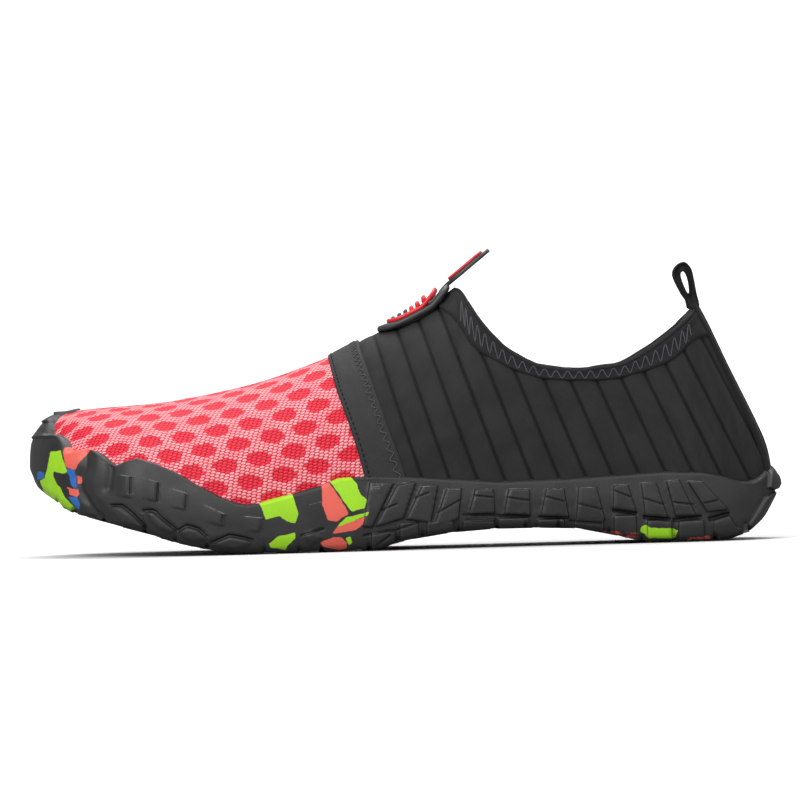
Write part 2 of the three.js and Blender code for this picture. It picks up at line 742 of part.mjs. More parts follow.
function makeBadgeBase() {
  return shell(gap, gap + badgeThickness).intersect(badgeOutline(0)).subtract(aboveCollar(gap));
}

// Red frame round the plate's edge with ribs across it
function makeBadgeFrame() {
  const ring = badgeOutline(1).subtract(badgeOutline(1 + frameWidth));
  const from = badgeThickness + gap * 2;
  const flat = shell(from, from + frameThickness).intersect(ring);
  const tall = shell(from, from + ribHeight);
  const bars = badgeRibs.map((along) => {
    const x = THREE.MathUtils.lerp(xAt(badgeBack), xAt(badgeFront), along);
    return tall.intersect(badgeOutline(1 + frameWidth / 2)).intersect(box(x, x + ribWidth, -ballWidth / 2, ballWidth / 2, 0, instepHeight * 1.5));
  });
  return join(flat, ...bars).subtract(aboveCollar(gap));
}

// Flat tongue with a round end, tilted up from the front of the collar
function tongue(inset, from, to) {
  const outline = new THREE.Shape();
  const [half, radius] = [tab.width / 2 - inset, tab.width / 2 - inset];
  outline.moveTo(inset, -half);
  outline.lineTo(tab.length - tab.width / 2, -half);
  outline.absarc(tab.length - tab.width / 2, 0, radius, -Math.PI / 2, Math.PI / 2, false);
  outline.lineTo(inset, half);
  const geometry = new THREE.ExtrudeGeometry(outline, { depth: to - from, bevelEnabled: false, curveSegments: 10 });
  geometry.translate(0, 0, from);
  geometry.rotateY(-THREE.MathUtils.degToRad(tab.tilt));
  geometry.translate(xAt(tab.at), centreLine(xAt(tab.at)), tab.height * instepHeight);
  return solid(geometry);
}

const standing = () => form(badgeThickness + frameThickness + gap * 3).subtract(aboveCollar(-gap));
const makeTab = () => tongue(0, 0, tab.base).subtract(standing());
const makeTabInlay = () => tongue(1.4, tab.base + gap, tab.base + gap + tab.inlay).subtract(standing());

// Turns a finished solid into a named mesh with its own material
function mesh(name, made, color, roughness) {
  const data = made.simplify(fineness).getMesh();
  const geometry = new THREE.BufferGeometry();
  geometry.setAttribute("position", new THREE.Float32BufferAttribute(data.vertProperties, data.numProp));
  geometry.setIndex(new THREE.Uint32BufferAttribute(data.triVerts, 1));
  geometry.computeVertexNormals();
  const material = new THREE.MeshStandardMaterial({ color, roughness, metalness: 0 });
  const result = new THREE.Mesh(geometry, material);
  result.name = name;
  return result;
}

const shoe = new THREE.Group();
shoe.name = "training_shoe";
shoe.add(
  mesh("outsole", makeOutsole(), 0x2c2c2e, 0.7),
  mesh("upper", makeUpper(), 0xd8263c, 0.9),
  mesh("insole", makeInsole(), 0x303032, 0.95),
  mesh("vamp_band", makeBand(), 0x242426, 0.85),
  mesh("collar_binding", makeBinding(), 0x2a2a2c, 0.9),
  mesh("heel_tape", makeTape(), 0x262628, 0.9),
  mesh("heel_loop", makeLoop(), 0x29292b, 0.9),
  mesh("badge_base", makeBadgeBase(), 0x1e1e20, 0.6),
  mesh("badge_frame", makeBadgeFrame(), 0xd42a3a, 0.6),
  mesh("pull_tab", makeTab(), 0x232325, 0.8),
  mesh("tab_inlay", makeTabInlay(), 0xd42a3a, 0.6),
);

export default shoe;
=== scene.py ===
import math

import bpy
import numpy as np
from mathutils import Matrix, Vector


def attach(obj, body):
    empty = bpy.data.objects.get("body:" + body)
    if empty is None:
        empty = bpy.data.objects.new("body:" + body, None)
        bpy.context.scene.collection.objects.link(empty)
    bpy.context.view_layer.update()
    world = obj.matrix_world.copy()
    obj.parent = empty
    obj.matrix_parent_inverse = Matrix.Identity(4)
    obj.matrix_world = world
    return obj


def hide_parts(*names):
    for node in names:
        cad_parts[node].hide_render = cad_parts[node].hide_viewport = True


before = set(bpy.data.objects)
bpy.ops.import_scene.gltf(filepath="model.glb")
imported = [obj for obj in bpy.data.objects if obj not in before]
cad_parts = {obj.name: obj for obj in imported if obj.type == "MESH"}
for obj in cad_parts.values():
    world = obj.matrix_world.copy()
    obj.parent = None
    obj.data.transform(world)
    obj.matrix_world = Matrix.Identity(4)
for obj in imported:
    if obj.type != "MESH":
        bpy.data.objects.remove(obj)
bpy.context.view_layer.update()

# Left training shoe: knitted vamp, ribbed stretch quarter, moulded sole.
# Millimetres in the making, metres in the meshes. Toe towards -X, outer side towards -Y.

shoe = {
    "length": 275.0,
    "ballWidth": 102.0,
    "instepHeight": 96.0,
    "toeSpring": 24.5,
    "archLift": 6.4,
    "heelRound": 11.0,
    "rimHeight": 25.0,
    "bedThickness": 8.0,
    "footWall": 4.0,
    "formTip": 0.9873,
    "formHeel": 0.0127,
    "heelRounding": 0.12,
    "toeRoundingOuter": 0.17,
    "toeRoundingInner": 0.10,
    "crossPower": 2.4,  # 2 is an ellipse, more is boxier
}

# place along the shoe from the heel, then centre, outer and inner half width as shares of the ball's width
planRows = [
    (0.0, 0.0, 0.286, 0.289), (0.15, 0.0, 0.296, 0.299), (0.25, 0.0, 0.316, 0.309),
    (0.35, 0.0, 0.337, 0.292), (0.45, 0.0, 0.362, 0.289), (0.55, 0.0, 0.402, 0.319),
    (0.65, 0.005, 0.448, 0.383), (0.72, 0.018, 0.479, 0.412), (0.8, 0.045, 0.487, 0.397),
    (0.87, 0.085, 0.489, 0.355), (0.93, 0.125, 0.499, 0.31), (1.0, 0.175, 0.51, 0.257),
]

# top line of the form, as a share of the instep's height
topRows = [
    (0.0127, 0.2), (0.0149, 0.281), (0.02, 0.354), (0.0316, 0.437), (0.0444, 0.517), (0.0571, 0.594),
    (0.0698, 0.672), (0.0818, 0.75), (0.0949, 0.833), (0.107, 0.901), (0.127, 1.01), (0.16, 1.1),
    (0.22, 1.15), (0.3, 1.14), (0.36, 1.09), (0.4, 1.03), (0.423, 0.982), (0.445, 0.938),
    (0.472, 0.893), (0.499, 0.857), (0.529, 0.824), (0.57, 0.772), (0.597, 0.735), (0.624, 0.707),
    (0.664, 0.668), (0.705, 0.636), (0.745, 0.6125), (0.786, 0.593), (0.826, 0.577), (0.866, 0.569),
    (0.906, 0.563), (0.936, 0.556), (0.9473, 0.549), (0.9618, 0.534), (0.9764, 0.502), (0.9836, 0.466),
    (0.9873, 0.415),
]

# underside: toe, arch and heel lifts, and the foot bed's share of its thickness
undersideRows = [
    (0.0, 0, 0, 1.8, 0.2), (0.0127, 0, 0, 1.2, 0.36), (0.0287, 0, 0, 0.55, 0.62), (0.041, 0, 0, 0.28, 0.8),
    (0.056, 0, 0, 0.12, 0.92), (0.079, 0, 0, 0, 1.0), (0.172, 0, 0, 0, 1.0), (0.239, 0, 0.61, 0, 0.86),
    (0.29, 0, 0.95, 0, 0.78), (0.373, 0, 1.0, 0, 0.75), (0.43, 0, 0.88, 0, 0.74), (0.467, 0, 0.7, 0, 0.74),
    (0.507, 0, 0.4, 0, 0.78), (0.541, 0, 0, 0, 0.86), (0.708, 0, 0, 0, 0.86), (0.755, 0.07, 0, 0, 0.84),
    (0.801, 0.18, 0, 0, 0.8), (0.841, 0.34, 0, 0, 0.77), (0.884, 0.473, 0, 0, 0.75),
    (0.901, 0.54, 0, 0, 0.74),
    (0.941, 0.657, 0, 0, 0.72), (0.967, 0.845, 0, 0, 0.68), (0.987, 1.0, 0, 0, 0.6), (1.0, 1.3, 0, 0, 0.5),
]

# edge of the collar and lower edge of its binding, shares of the instep's height
collarRows = [
    (0.09, 0.915), (0.101, 0.897), (0.113, 0.868), (0.127, 0.833), (0.155, 0.771), (0.182, 0.723),
    (0.209, 0.686), (0.236, 0.677), (0.263, 0.668), (0.289, 0.674), (0.316, 0.6875), (0.33, 0.703),
    (0.343, 0.724), (0.356, 0.748), (0.369, 0.783), (0.382, 0.823), (0.395, 0.874), (0.408, 0.936),
    (0.418, 0.975), (0.423, 0.98),
]
bindingRows = [
    (0.09, 0.775), (0.112, 0.752), (0.139, 0.685), (0.18, 0.643), (0.234, 0.616), (0.287, 0.62),
    (0.314, 0.629), (0.351, 0.664), (0.38, 0.707), (0.407, 0.764), (0.415, 0.806), (0.432, 0.873),
    (0.446, 0.91),
]

# edge of the sole in the side view, shares of the rim's height
outerRim = [
    (-0.01, 1.26), (0.006, 1.166), (0.012, 1.048), (0.019, 0.944), (0.027, 0.876), (0.036, 0.84),
    (0.05, 0.852), (0.076, 0.932), (0.103, 0.992), (0.157, 1.016), (0.21, 0.988), (0.291, 0.952),
    (0.371, 0.94), (0.451, 1.008), (0.505, 1.052), (0.552, 1.072), (0.585, 1.052), (0.609, 0.956),
    (0.653, 0.832), (0.691, 0.732), (0.707, 0.716), (0.72, 0.74), (0.746, 0.864), (0.773, 1.036),
    (0.799, 1.22), (0.825, 1.36), (0.851, 1.456), (0.868, 1.404), (0.882, 1.348), (0.893, 1.456),
    (0.901, 1.544), (0.916, 1.608), (0.935, 1.584), (0.943, 1.556), (0.951, 1.764), (0.961, 1.828),
    (0.975, 1.816), (0.971, 1.992), (0.962, 2.092), (0.949, 2.148), (0.937, 2.2),
]
innerRim = [
    (-0.01, 1.26), (0.006, 1.166), (0.019, 0.944), (0.036, 0.84), (0.076, 0.932), (0.157, 1.016),
    (0.291, 0.96), (0.371, 0.98), (0.451, 1.04), (0.53, 1.07), (0.6, 0.94), (0.67, 0.84),
    (0.73, 0.96), (0.785, 1.3), (0.835, 1.5), (0.885, 1.72), (0.925, 1.98), (0.937, 2.2),
]

# vamp band in the side view: height as a share of the instep's, then its front and back edge
bandRows = [
    (0.2, 0.545, 0.49), (0.376, 0.56, 0.508), (0.473, 0.57, 0.52), (0.608, 0.586, 0.535),
    (0.75, 0.598, 0.552), (1.2, 0.63, 0.58),
]


def smoothCurve(xs, ys):
    # runs through the given points without overshoot
    xs, ys = np.array(xs, float), np.array(ys, float)
    slopes = np.diff(ys) / np.diff(xs)
    tangents = np.concatenate([slopes[:1], np.zeros(len(xs) - 2), slopes[-1:]])
    before, after = slopes[:-1], slopes[1:]
    same = before * after > 0
    total = np.where(same, before + after, 1.0)
    tangents[1:-1] = np.where(same, 2 * before * after / total, 0.0)

    def value(x):
        x = np.clip(x, xs[0], xs[-1])
        i = np.clip(np.searchsorted(xs, x, side="right") - 1, 0, len(xs) - 2)
        step = xs[i + 1] - xs[i]
        s = (x - xs[i]) / step
        bend = step * s * (1 - s) * ((1 - s) * tangents[i] - s * tangents[i + 1])
        return ys[i] + (ys[i + 1] - ys[i]) * s * s * (3 - 2 * s) + bend

    return value


def column(rows, number):
    return smoothCurve([row[0] for row in rows], [row[number] for row in rows])


def smoothStep(value, low, high):
    t = np.clip((value - low) / (high - low), 0.0, 1.0)
    return t * t * (3 - 2 * t)


def mix(a, b, t):
    return a + (b - a) * t


planCentre, planOuter, planInner = (column(planRows, i) for i in (1, 2, 3))
topShare = column(topRows, 1)
toeShare, archShare, heelShare, bedShare = (column(undersideRows, i) for i in (1, 2, 3, 4))
collarShare, bindingShare = column(collarRows, 1), column(bindingRows, 1)


def shareAt(x):
    return 0.5 - x / shoe["length"]


def xAt(share):
    return (0.5 - np.asarray(share, float)) * shoe["length"]


def topHeight(x):
    return topShare(shareAt(x)) * shoe["instepHeight"]


def centreLine(x):
    return planCentre(shareAt(x)) * shoe["ballWidth"]


def treadHeight(x):
    at = shareAt(x)
    return toeShare(at) * shoe["toeSpring"] + archShare(at) * shoe["archLift"] + heelShare(at) * shoe[
        "heelRound"
    ]


def bedHeight(x):
    return treadHeight(x) + bedShare(shareAt(x)) * shoe["bedThickness"]


def baseHeight(x):
    return bedHeight(x) + shoe["footWall"]


def lugDepth(x):
    at = shareAt(x)
    return 2.6 * smoothStep(at, 0.0, 0.06) * (1 - 0.75 * smoothStep(at, 0.8, 0.99))


def plateHeight(x):
    return treadHeight(x) + lugDepth(x)


def rounding(distance, reach):
    t = np.clip(distance / reach, 0.0, 1.0)
    return np.sqrt(1 - (1 - t) ** 2)


def halfWidth(x, side):
    # half width of the form at its widest level. side is -1 outside, 1 inside, one or many
    at = shareAt(x)
    outer = np.asarray(side) < 0
    share = np.where(outer, planOuter(at), planInner(at))
    toe = np.where(outer, shoe["toeRoundingOuter"], shoe["toeRoundingInner"])
    ends = rounding(shoe["formTip"] - at, toe) * rounding(at - shoe["formHeel"], shoe["heelRounding"])
    return np.maximum(share * shoe["ballWidth"] * ends, 0.001)


def formField(x, y, z):
    off = y - centreLine(x)
    across = off / halfWidth(x, np.where(off < 0, -1, 1))
    up = np.maximum((z - baseHeight(x)) / np.maximum(topHeight(x) - baseHeight(x), 1.0), 0.0)
    return across**2 + up ** shoe["crossPower"] - 1


def formNormal(x, y, z):
    step = 0.01
    inside = np.clip(x, xAt(shoe["formTip"]) + 2 * step, xAt(shoe["formHeel"]) - 2 * step)
    normal = np.stack(
        [
            formField(inside + step, y, z) - formField(inside - step, y, z),
            formField(inside, y + step, z) - formField(inside, y - step, z),
            formField(inside, y, z + step) - formField(inside, y, z - step),
        ],
        axis=-1,
    )
    return normal / np.maximum(np.linalg.norm(normal, axis=-1, keepdims=True), 1e-12)


def formPoint(x, angle, side):
    # angle 0 is the widest level, a quarter turn is the top line
    low, high = baseHeight(x), topHeight(x)
    z = low + (high - low) * np.sin(angle) ** (2 / shoe["crossPower"])
    y = centreLine(x) + side * halfWidth(x, side) * np.abs(np.cos(angle))
    return np.stack(np.broadcast_arrays(x, y, z), axis=-1)


def angleAt(x, z):
    up = (z - baseHeight(x)) / np.maximum(topHeight(x) - baseHeight(x), 1e-6)
    return np.arcsin(np.clip(up, 0.0, 1.0) ** (shoe["crossPower"] / 2))


def raised(points, offset):
    # points moved out along the form's own normal
    normal = formNormal(points[..., 0], points[..., 1], points[..., 2])
    return points + normal * np.asarray(offset)[..., None]


def wallThickness(x, z):
    edge = mix(shoe["rimHeight"], shoe["instepHeight"] * 0.56, smoothStep(shareAt(x), 0.72, 0.93))
    low = baseHeight(x)
    share = np.clip((z - low) / np.maximum(edge - low, 4.0), 0.0, 1.0)
    return mix(3.5, 1.5, share**1.5)


def stationsBetween(x0, x1, count, extra=None):
    # places along the shoe, evenly spaced over its outline
    t = np.linspace(0, 1, 40001)
    x = x0 + (x1 - x0) * (0.5 - 0.5 * np.cos(np.pi * t))
    parts = [x, halfWidth(x, -1), 0.5 * halfWidth(x, 1), 0.6 * topHeight(x)]
    if extra is not None:
        parts.append(extra(x))
    steps = np.sqrt(sum(np.diff(part) ** 2 for part in parts))
    way = np.concatenate([[0], np.cumsum(steps)])
    return np.interp(np.linspace(0, way[-1], count), way, x)


def outlineDistance(x, z, outline):
    # distance to a closed outline, above zero inside
    best = np.full(np.shape(x), 1e9)
    inside = np.zeros(np.shape(x), bool)
    for (ax, az), (bx, bz) in zip(outline, outline[1:] + outline[:1]):
        dx, dz = bx - ax, bz - az
        along = np.clip(((x - ax) * dx + (z - az) * dz) / max(dx * dx + dz * dz, 1e-9), 0, 1)
        best = np.minimum(best, (x - ax - along * dx) ** 2 + (z - az - along * dz) ** 2)
        if az != bz:
            crosses = ((az > z) != (bz > z)) & (x < (bx - ax) * (z - az) / (bz - az) + ax)
            inside ^= crosses
    return np.where(inside, 1, -1) * np.sqrt(best)


def lineDistance(x, z, line):
    best = np.full(np.shape(x), 1e9)
    for (ax, az), (bx, bz) in zip(line, line[1:]):
        dx, dz = bx - ax, bz - az
        along = np.clip(((x - ax) * dx + (z - az) * dz) / max(dx * dx + dz * dz, 1e-9), 0, 1)
        best = np.minimum(best, (x - ax - along * dx) ** 2 + (z - az - along * dz) ** 2)
    return np.sqrt(best)


def gridQuads(index, closedRows=False, closedColumns=False):
    # quads over a table of vertex numbers
    if closedRows:
        index = np.concatenate([index, index[:1]], axis=0)
    if closedColumns:
        index = np.concatenate([index, index[:, :1]], axis=1)
    return np.stack([index[:-1, :-1], index[1:, :-1], index[1:, 1:], index[:-1, 1:]], axis=-1)


def placed(name, data):
    made = bpy.data.objects.new(name, data)
    bpy.context.scene.collection.objects.link(made)
    return made


def newPiece(name, points, quads, materials, slots=None, values=None, uv=None):
    # welds the points, drops empty faces, turns the shell outwards and makes the mesh
    points, quads = np.asarray(points, float).reshape(-1, 3), np.asarray(quads).reshape(-1, 4)
    keys = np.round(points / 0.002).astype(np.int64)
    _, first, inverse = np.unique(keys, axis=0, return_index=True, return_inverse=True)
    inverse = inverse.ravel()
    quads = inverse[quads]
    kept, numbers = points[first], slots if slots is not None else np.zeros(len(quads), int)
    a, b, c, d = quads.T
    whole = (a != b) & (b != c) & (c != d) & (d != a) & (a != c) & (b != d)
    faces, faceSlots = quads[whole].tolist(), list(np.asarray(numbers)[whole])
    for quad, slotNumber in zip(quads[~whole].tolist(), np.asarray(numbers)[~whole]):
        corners = [v for i, v in enumerate(quad) if v != quad[i - 1]]
        if len(corners) == 3 and len(set(corners)) == 3:
            faces.append(corners)
            faceSlots.append(slotNumber)
    volume = 0.0
    for size in (3, 4):
        some = np.array([f for f in faces if len(f) == size])
        for i in range(1, size - 1):
            if len(some):
                p, q, r = kept[some[:, 0]], kept[some[:, i]], kept[some[:, i + 1]]
                volume += np.einsum("ij,ij->i", p, np.cross(q, r)).sum() / 6
    if volume < 0:
        faces = [face[::-1] for face in faces]
    data = bpy.data.meshes.new(name)
    data.from_pydata((kept / 1000).tolist(), [], faces)
    for material in materials:
        data.materials.append(material)
    data.polygons.foreach_set("material_index", np.array(faceSlots, np.int32))
    data.polygons.foreach_set("use_smooth", np.ones(len(faces), bool))
    for key, numbers in (values or {}).items():
        layer = data.attributes.new(key, "FLOAT", "POINT")
        layer.data.foreach_set("value", np.asarray(numbers, float).reshape(-1)[first].astype(np.float32))
    if uv is not None:
        corners = np.zeros(len(data.loops), np.int32)
        data.loops.foreach_get("vertex_index", corners)
        layer = data.uv_layers.new(name="UVMap")
        layer.data.foreach_set(
            "uv", np.asarray(uv, float).reshape(-1, 2)[first][corners].astype(np.float32).ravel()
        )
    data.validate()
    data.update()
    return placed(name, data)


def finishPiece(piece, nodes=()):
    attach(piece, "root")
    if nodes:
        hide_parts(*nodes)
    triangles = sum(len(p.vertices) - 2 for p in piece.data.polygons)
    print(f"{piece.name}: {triangles} triangles")
    return piece


def paint(r, g, b):
    # a screen colour as the shader wants it
    def straight(c):
        c /= 255
        return c / 12.92 if c <= 0.04045 else ((c + 0.055) / 1.055) ** 2.4

    return (straight(r), straight(g), straight(b), 1.0)


def plug(tree, value, socket):
    if isinstance(value, bpy.types.NodeSocket):
        tree.links.new(value, socket)
    elif value is not None:
        socket.default_value = value


def calc(tree, operation, *values):
    made = tree.nodes.new("ShaderNodeMath")
    made.operation = operation
    for value, socket in zip(values, made.inputs):
        plug(tree, value, socket)
    return made.outputs[0]


def times(tree, first, second):
    return calc(tree, "MULTIPLY", first, second)


def plus(tree, first, second):
    return calc(tree, "ADD", first, second)


def minus(tree, first, second):
    return calc(tree, "SUBTRACT", first, second)


def over(tree, first, second):
    return calc(tree, "DIVIDE", first, second)


def lengthOf(tree, x, y):
    return calc(tree, "SQRT", plus(tree, times(tree, x, x), times(tree, y, y)))


def remap(tree, value, low, high, toLow=0.0, toHigh=1.0):
    made = tree.nodes.new("ShaderNodeMapRange")
    made.interpolation_type = "SMOOTHSTEP"
    for name, number in (
        ("Value", value), ("From Min", low), ("From Max", high), ("To Min", toLow), ("To Max", toHigh)
    ):
        plug(tree, number, made.inputs[name])
    return made.outputs["Result"]


def mixColour(tree, factor, first, second):
    made = tree.nodes.new("ShaderNodeMix")
    made.data_type = "RGBA"
    plug(tree, factor, made.inputs[0])
    plug(tree, first, made.inputs[6])
    plug(tree, second, made.inputs[7])
    return made.outputs[2]


def noiseTone(tree, vector, scale, detail=3.0, rough=0.55):
    made = tree.nodes.new("ShaderNodeTexNoise")
    plug(tree, vector, made.inputs["Vector"])
    plug(tree, scale, made.inputs["Scale"])
    plug(tree, detail, made.inputs["Detail"])
    plug(tree, rough, made.inputs["Roughness"])
    return made.outputs["Fac"]


def splitVector(tree, vector):
    made = tree.nodes.new("ShaderNodeSeparateXYZ")
    plug(tree, vector, made.inputs[0])
    return made.outputs


def flatVector(tree, x, y):
    made = tree.nodes.new("ShaderNodeCombineXYZ")
    plug(tree, x, made.inputs[0])
    plug(tree, y, made.inputs[1])
    return made.outputs[0]


def turned(tree, vector, angle):
    made = tree.nodes.new("ShaderNodeVectorRotate")
    made.rotation_type = "Z_AXIS"
    plug(tree, vector, made.inputs["Vector"])
    plug(tree, angle, made.inputs["Angle"])
    return made.outputs[0]


def attributeValue(tree, name):
    made = tree.nodes.new("ShaderNodeAttribute")
    made.attribute_name = name
    return made.outputs["Fac"]


def placeOf(tree, kind="Object"):
    return tree.nodes.new("ShaderNodeTexCoord").outputs[kind]


def newGroup(name, inputs, outputs):
    group = bpy.data.node_groups.new(name, "ShaderNodeTree")
    for label, kind, default in inputs:
        made = group.interface.new_socket(name=label, in_out="INPUT", socket_type=kind)
        if default is not None:
            made.default_value = default
    for label, kind in outputs:
        group.interface.new_socket(name=label, in_out="OUTPUT", socket_type=kind)
    return group, group.nodes.new("NodeGroupInput").outputs, group.nodes.new("NodeGroupOutput").inputs


def useGroup(tree, group, **values):
    made = tree.nodes.new("ShaderNodeGroup")
    made.node_tree = group
    for name, value in values.items():
        plug(tree, value, made.inputs[name])
    return made.outputs


def surfaceGrainGroup():
    # fine pitting of moulded rubber and plastic, with a slow change of tone over it
    group, given, out = newGroup(
        "surfaceGrain",
        [
            ("Vector", "NodeSocketVector", None), ("Fineness", "NodeSocketFloat", 1500.0),
            ("Patchiness", "NodeSocketFloat", 60.0),
        ],
        [("Height", "NodeSocketFloat"), ("Tone", "NodeSocketFloat")],
    )
    fine = noiseTone(group, given["Vector"], given["Fineness"], 4.0, 0.6)
    slow = noiseTone(group, given["Vector"], given["Patchiness"], 3.0, 0.5)
    plug(group, plus(group, times(group, fine, 0.8), times(group, slow, 0.2)), out["Height"])
    plug(group, remap(group, slow, 0.3, 0.7), out["Tone"])
    return group


def threadRowsGroup():
    # short dashes of thread in rows, every other row shifted along. A painted shadow grows towards one side
    # of each dash
    group, given, out = newGroup(
        "threadRows",
        [
            ("Vector", "NodeSocketVector", None),
            ("Dash", "NodeSocketFloat", 0.00135),
            ("Row", "NodeSocketFloat", 0.00072),
            ("Slant", "NodeSocketFloat", 0.0),
            ("Wander", "NodeSocketFloat", 0.0002),
            ("Shift", "NodeSocketFloat", 0.5),
            ("Tilt", "NodeSocketFloat", 0.0),
        ],
        [
            ("Mask", "NodeSocketFloat"), ("Height", "NodeSocketFloat"), ("PaintedShadow", "NodeSocketFloat"),
            ("Cell", "NodeSocketVector"),
        ],
    )
    parts = splitVector(group, turned(group, given["Vector"], given["Slant"]))
    loose = times(group, minus(group, noiseTone(group, given["Vector"], 350.0, 2.0), 0.5), given["Wander"])
    rows = over(group, plus(group, parts["Y"], loose), given["Row"])
    rowNumber = calc(group, "FLOOR", rows)
    shift = times(group, calc(group, "FLOORED_MODULO", rowNumber, 2.0), given["Shift"])
    dashes = calc(group, "FRACT", plus(group, over(group, parts["X"], given["Dash"]), shift))
    # each thread is a small lens, leaning over its row
    fromMiddle = flatVector(
        group,
        times(group, minus(group, dashes, 0.5), given["Dash"]),
        times(group, minus(group, calc(group, "FRACT", rows), 0.5), given["Row"]),
    )
    lens = splitVector(group, turned(group, fromMiddle, given["Tilt"]))
    long = over(group, lens["X"], times(group, given["Dash"], 0.52))
    wide = over(group, lens["Y"], times(group, given["Row"], 0.38))
    away = lengthOf(group, long, wide)
    plug(group, remap(group, away, 1.1, 0.7), out["Mask"])
    plug(group, remap(group, away, 1.15, 0.1), out["Height"])
    # painted shadow across each row, towards the side under the thread
    plug(group, remap(group, wide, -0.2, 1.3), out["PaintedShadow"])
    # middle of the dash that a point belongs to, turned back
    cellX = minus(group, over(group, parts["X"], given["Dash"]), minus(group, dashes, 0.5))
    cellY = plus(group, rowNumber, 0.5)
    middle = flatVector(group, times(group, cellX, given["Dash"]), times(group, cellY, given["Row"]))
    plug(group, turned(group, middle, times(group, given["Slant"], -1.0)), out["Cell"])
    return group


def newMaterial(name, roughness=0.6, sheen=0.0, specular=0.5):
    material = bpy.data.materials.new(name)
    material.use_nodes = True
    tree = material.node_tree
    tree.nodes.clear()
    shader = tree.nodes.new("ShaderNodeBsdfPrincipled")
    tree.links.new(shader.outputs[0], tree.nodes.new("ShaderNodeOutputMaterial").inputs[0])
    shader.inputs["Roughness"].default_value = roughness
    shader.inputs["Sheen Weight"].default_value = sheen
    shader.inputs["Sheen Roughness"].default_value = 0.4
    shader.inputs["Specular IOR Level"].default_value = specular
    return material, tree, shader


def bumpFrom(tree, shader, height, strength, distance):
    made = tree.nodes.new("ShaderNodeBump")
    made.inputs["Strength"].default_value = strength
    made.inputs["Distance"].default_value = distance
    plug(tree, height, made.inputs["Height"])
    tree.links.new(made.outputs[0], shader.inputs["Normal"])


surfaceGrain = surfaceGrainGroup()
threadRows = threadRowsGroup()

rubberLook = {
    "black": (41, 41, 42),
    "worn": (54, 54, 55),
    # painted shade colour for the feet of the blocks and for the cuts
    "shadeBlack": (9, 9, 10),
    # painted highlight colour for the block edges
    "paintedEdgeHighlight": (122, 122, 122),
    "lime": (164, 226, 34),
    "coral": (238, 104, 90),
    "blue": (44, 108, 192),
    "edgeNoise": 0.4,
}


def strokeMask(tree, name):
    # fine line from its signed offset, in half widths, and the distance inside its ends
    offset = calc(tree, "ABSOLUTE", attributeValue(tree, name + "Off"))
    return times(
        tree, remap(tree, offset, 1.35, 0.65), remap(tree, attributeValue(tree, name + "In"), 0.0, 0.3)
    )


def rubberMaterial():
    material, tree, shader = newMaterial("mouldedRubber", 0.52, specular=0.42)
    place = placeOf(tree)
    grain = useGroup(tree, surfaceGrain, Vector=place, Fineness=1600.0, Patchiness=90.0)
    colour = mixColour(
        tree, times(tree, grain["Tone"], 0.6), paint(*rubberLook["black"]), paint(*rubberLook["worn"])
    )
    ragged = times(tree, minus(tree, noiseTone(tree, place, 420.0, 2.0), 0.5), rubberLook["edgeNoise"] * 2)
    for name in ("blue", "coral", "lime"):
        mask = remap(tree, plus(tree, attributeValue(tree, name), ragged), -0.12, 0.16)
        tinted = mixColour(
            tree, times(tree, grain["Tone"], 0.35), paint(*rubberLook[name]),
            paint(*(c * 0.86 for c in rubberLook[name])),
        )
        colour = mixColour(tree, mask, colour, tinted)
    # painted shade at the feet of the blocks and in the slits and gaps, and thin painted highlights along
    # upper edges
    block, slit = attributeValue(tree, "block"), strokeMask(tree, "cut")
    # painted shade: a narrow band round the foot of each block, and the slits and gaps, mixed towards near
    # black
    foot = times(tree, remap(tree, block, -0.8, -0.1), remap(tree, block, 0.1, 0.0))
    dark = calc(tree, "MAXIMUM", times(tree, foot, 0.55), slit)
    colour = mixColour(tree, times(tree, dark, 0.85), colour, paint(*rubberLook["shadeBlack"]))
    # painted highlight: a faint light band inside every block edge, and thin lines along upper edges broken
    # into dashes
    paintedEdgeHighlight = times(tree, remap(tree, block, 0.0, 0.15), remap(tree, block, 0.5, 0.25))
    broken = remap(tree, noiseTone(tree, place, 700.0, 3.0), 0.36, 0.6)
    lines = times(tree, strokeMask(tree, "line"), times(tree, broken, 0.62))
    paintedEdgeHighlight = calc(tree, "MAXIMUM", times(tree, paintedEdgeHighlight, 0.1), lines)
    colour = mixColour(tree, paintedEdgeHighlight, colour, paint(*rubberLook["paintedEdgeHighlight"]))
    plug(tree, colour, shader.inputs["Base Color"])
    plug(tree, remap(tree, grain["Tone"], 0.0, 1.0, 0.46, 0.62), shader.inputs["Roughness"])
    height = minus(tree, remap(tree, block, -0.2, 0.2), times(tree, slit, 1.2))
    height = plus(tree, height, times(tree, grain["Height"], 0.2))
    bumpFrom(tree, shader, height, 0.8, 0.0005)
    return material


meshLook = {
    "ground": (222, 44, 72),
    # the gap colour is the ground in the painted shadow under each thread
    "gap": (168, 40, 52),
    "thread": (255, 184, 186),
    "dotThread": (250, 56, 80),
    "dotGround": (176, 0, 20),
    "alongPitch": 0.0130,
    "rowPitch": 0.0081,
    "dotLength": 0.0046,
    "dotWidth": 0.0031,
    "dotTurn": 0.16,
    "dash": 0.00172,
    "row": 0.00124,
    "slant": -0.44,
    "tilt": 0.45,
}


def dotDistance(u, v):
    # how far inside a dot of the mesh, the same sum as in the material
    row = np.round(v / meshLook["rowPitch"])
    dv = v - row * meshLook["rowPitch"]
    p = u / meshLook["alongPitch"] - 0.5 * np.mod(row, 2)
    du = (p - np.round(p)) * meshLook["alongPitch"]
    c, n = math.cos(meshLook["dotTurn"]), math.sin(meshLook["dotTurn"])
    du, dv = du * c + dv * n, dv * c - du * n
    return 1 - np.sqrt((du / meshLook["dotLength"]) ** 2 + (dv / meshLook["dotWidth"]) ** 2)


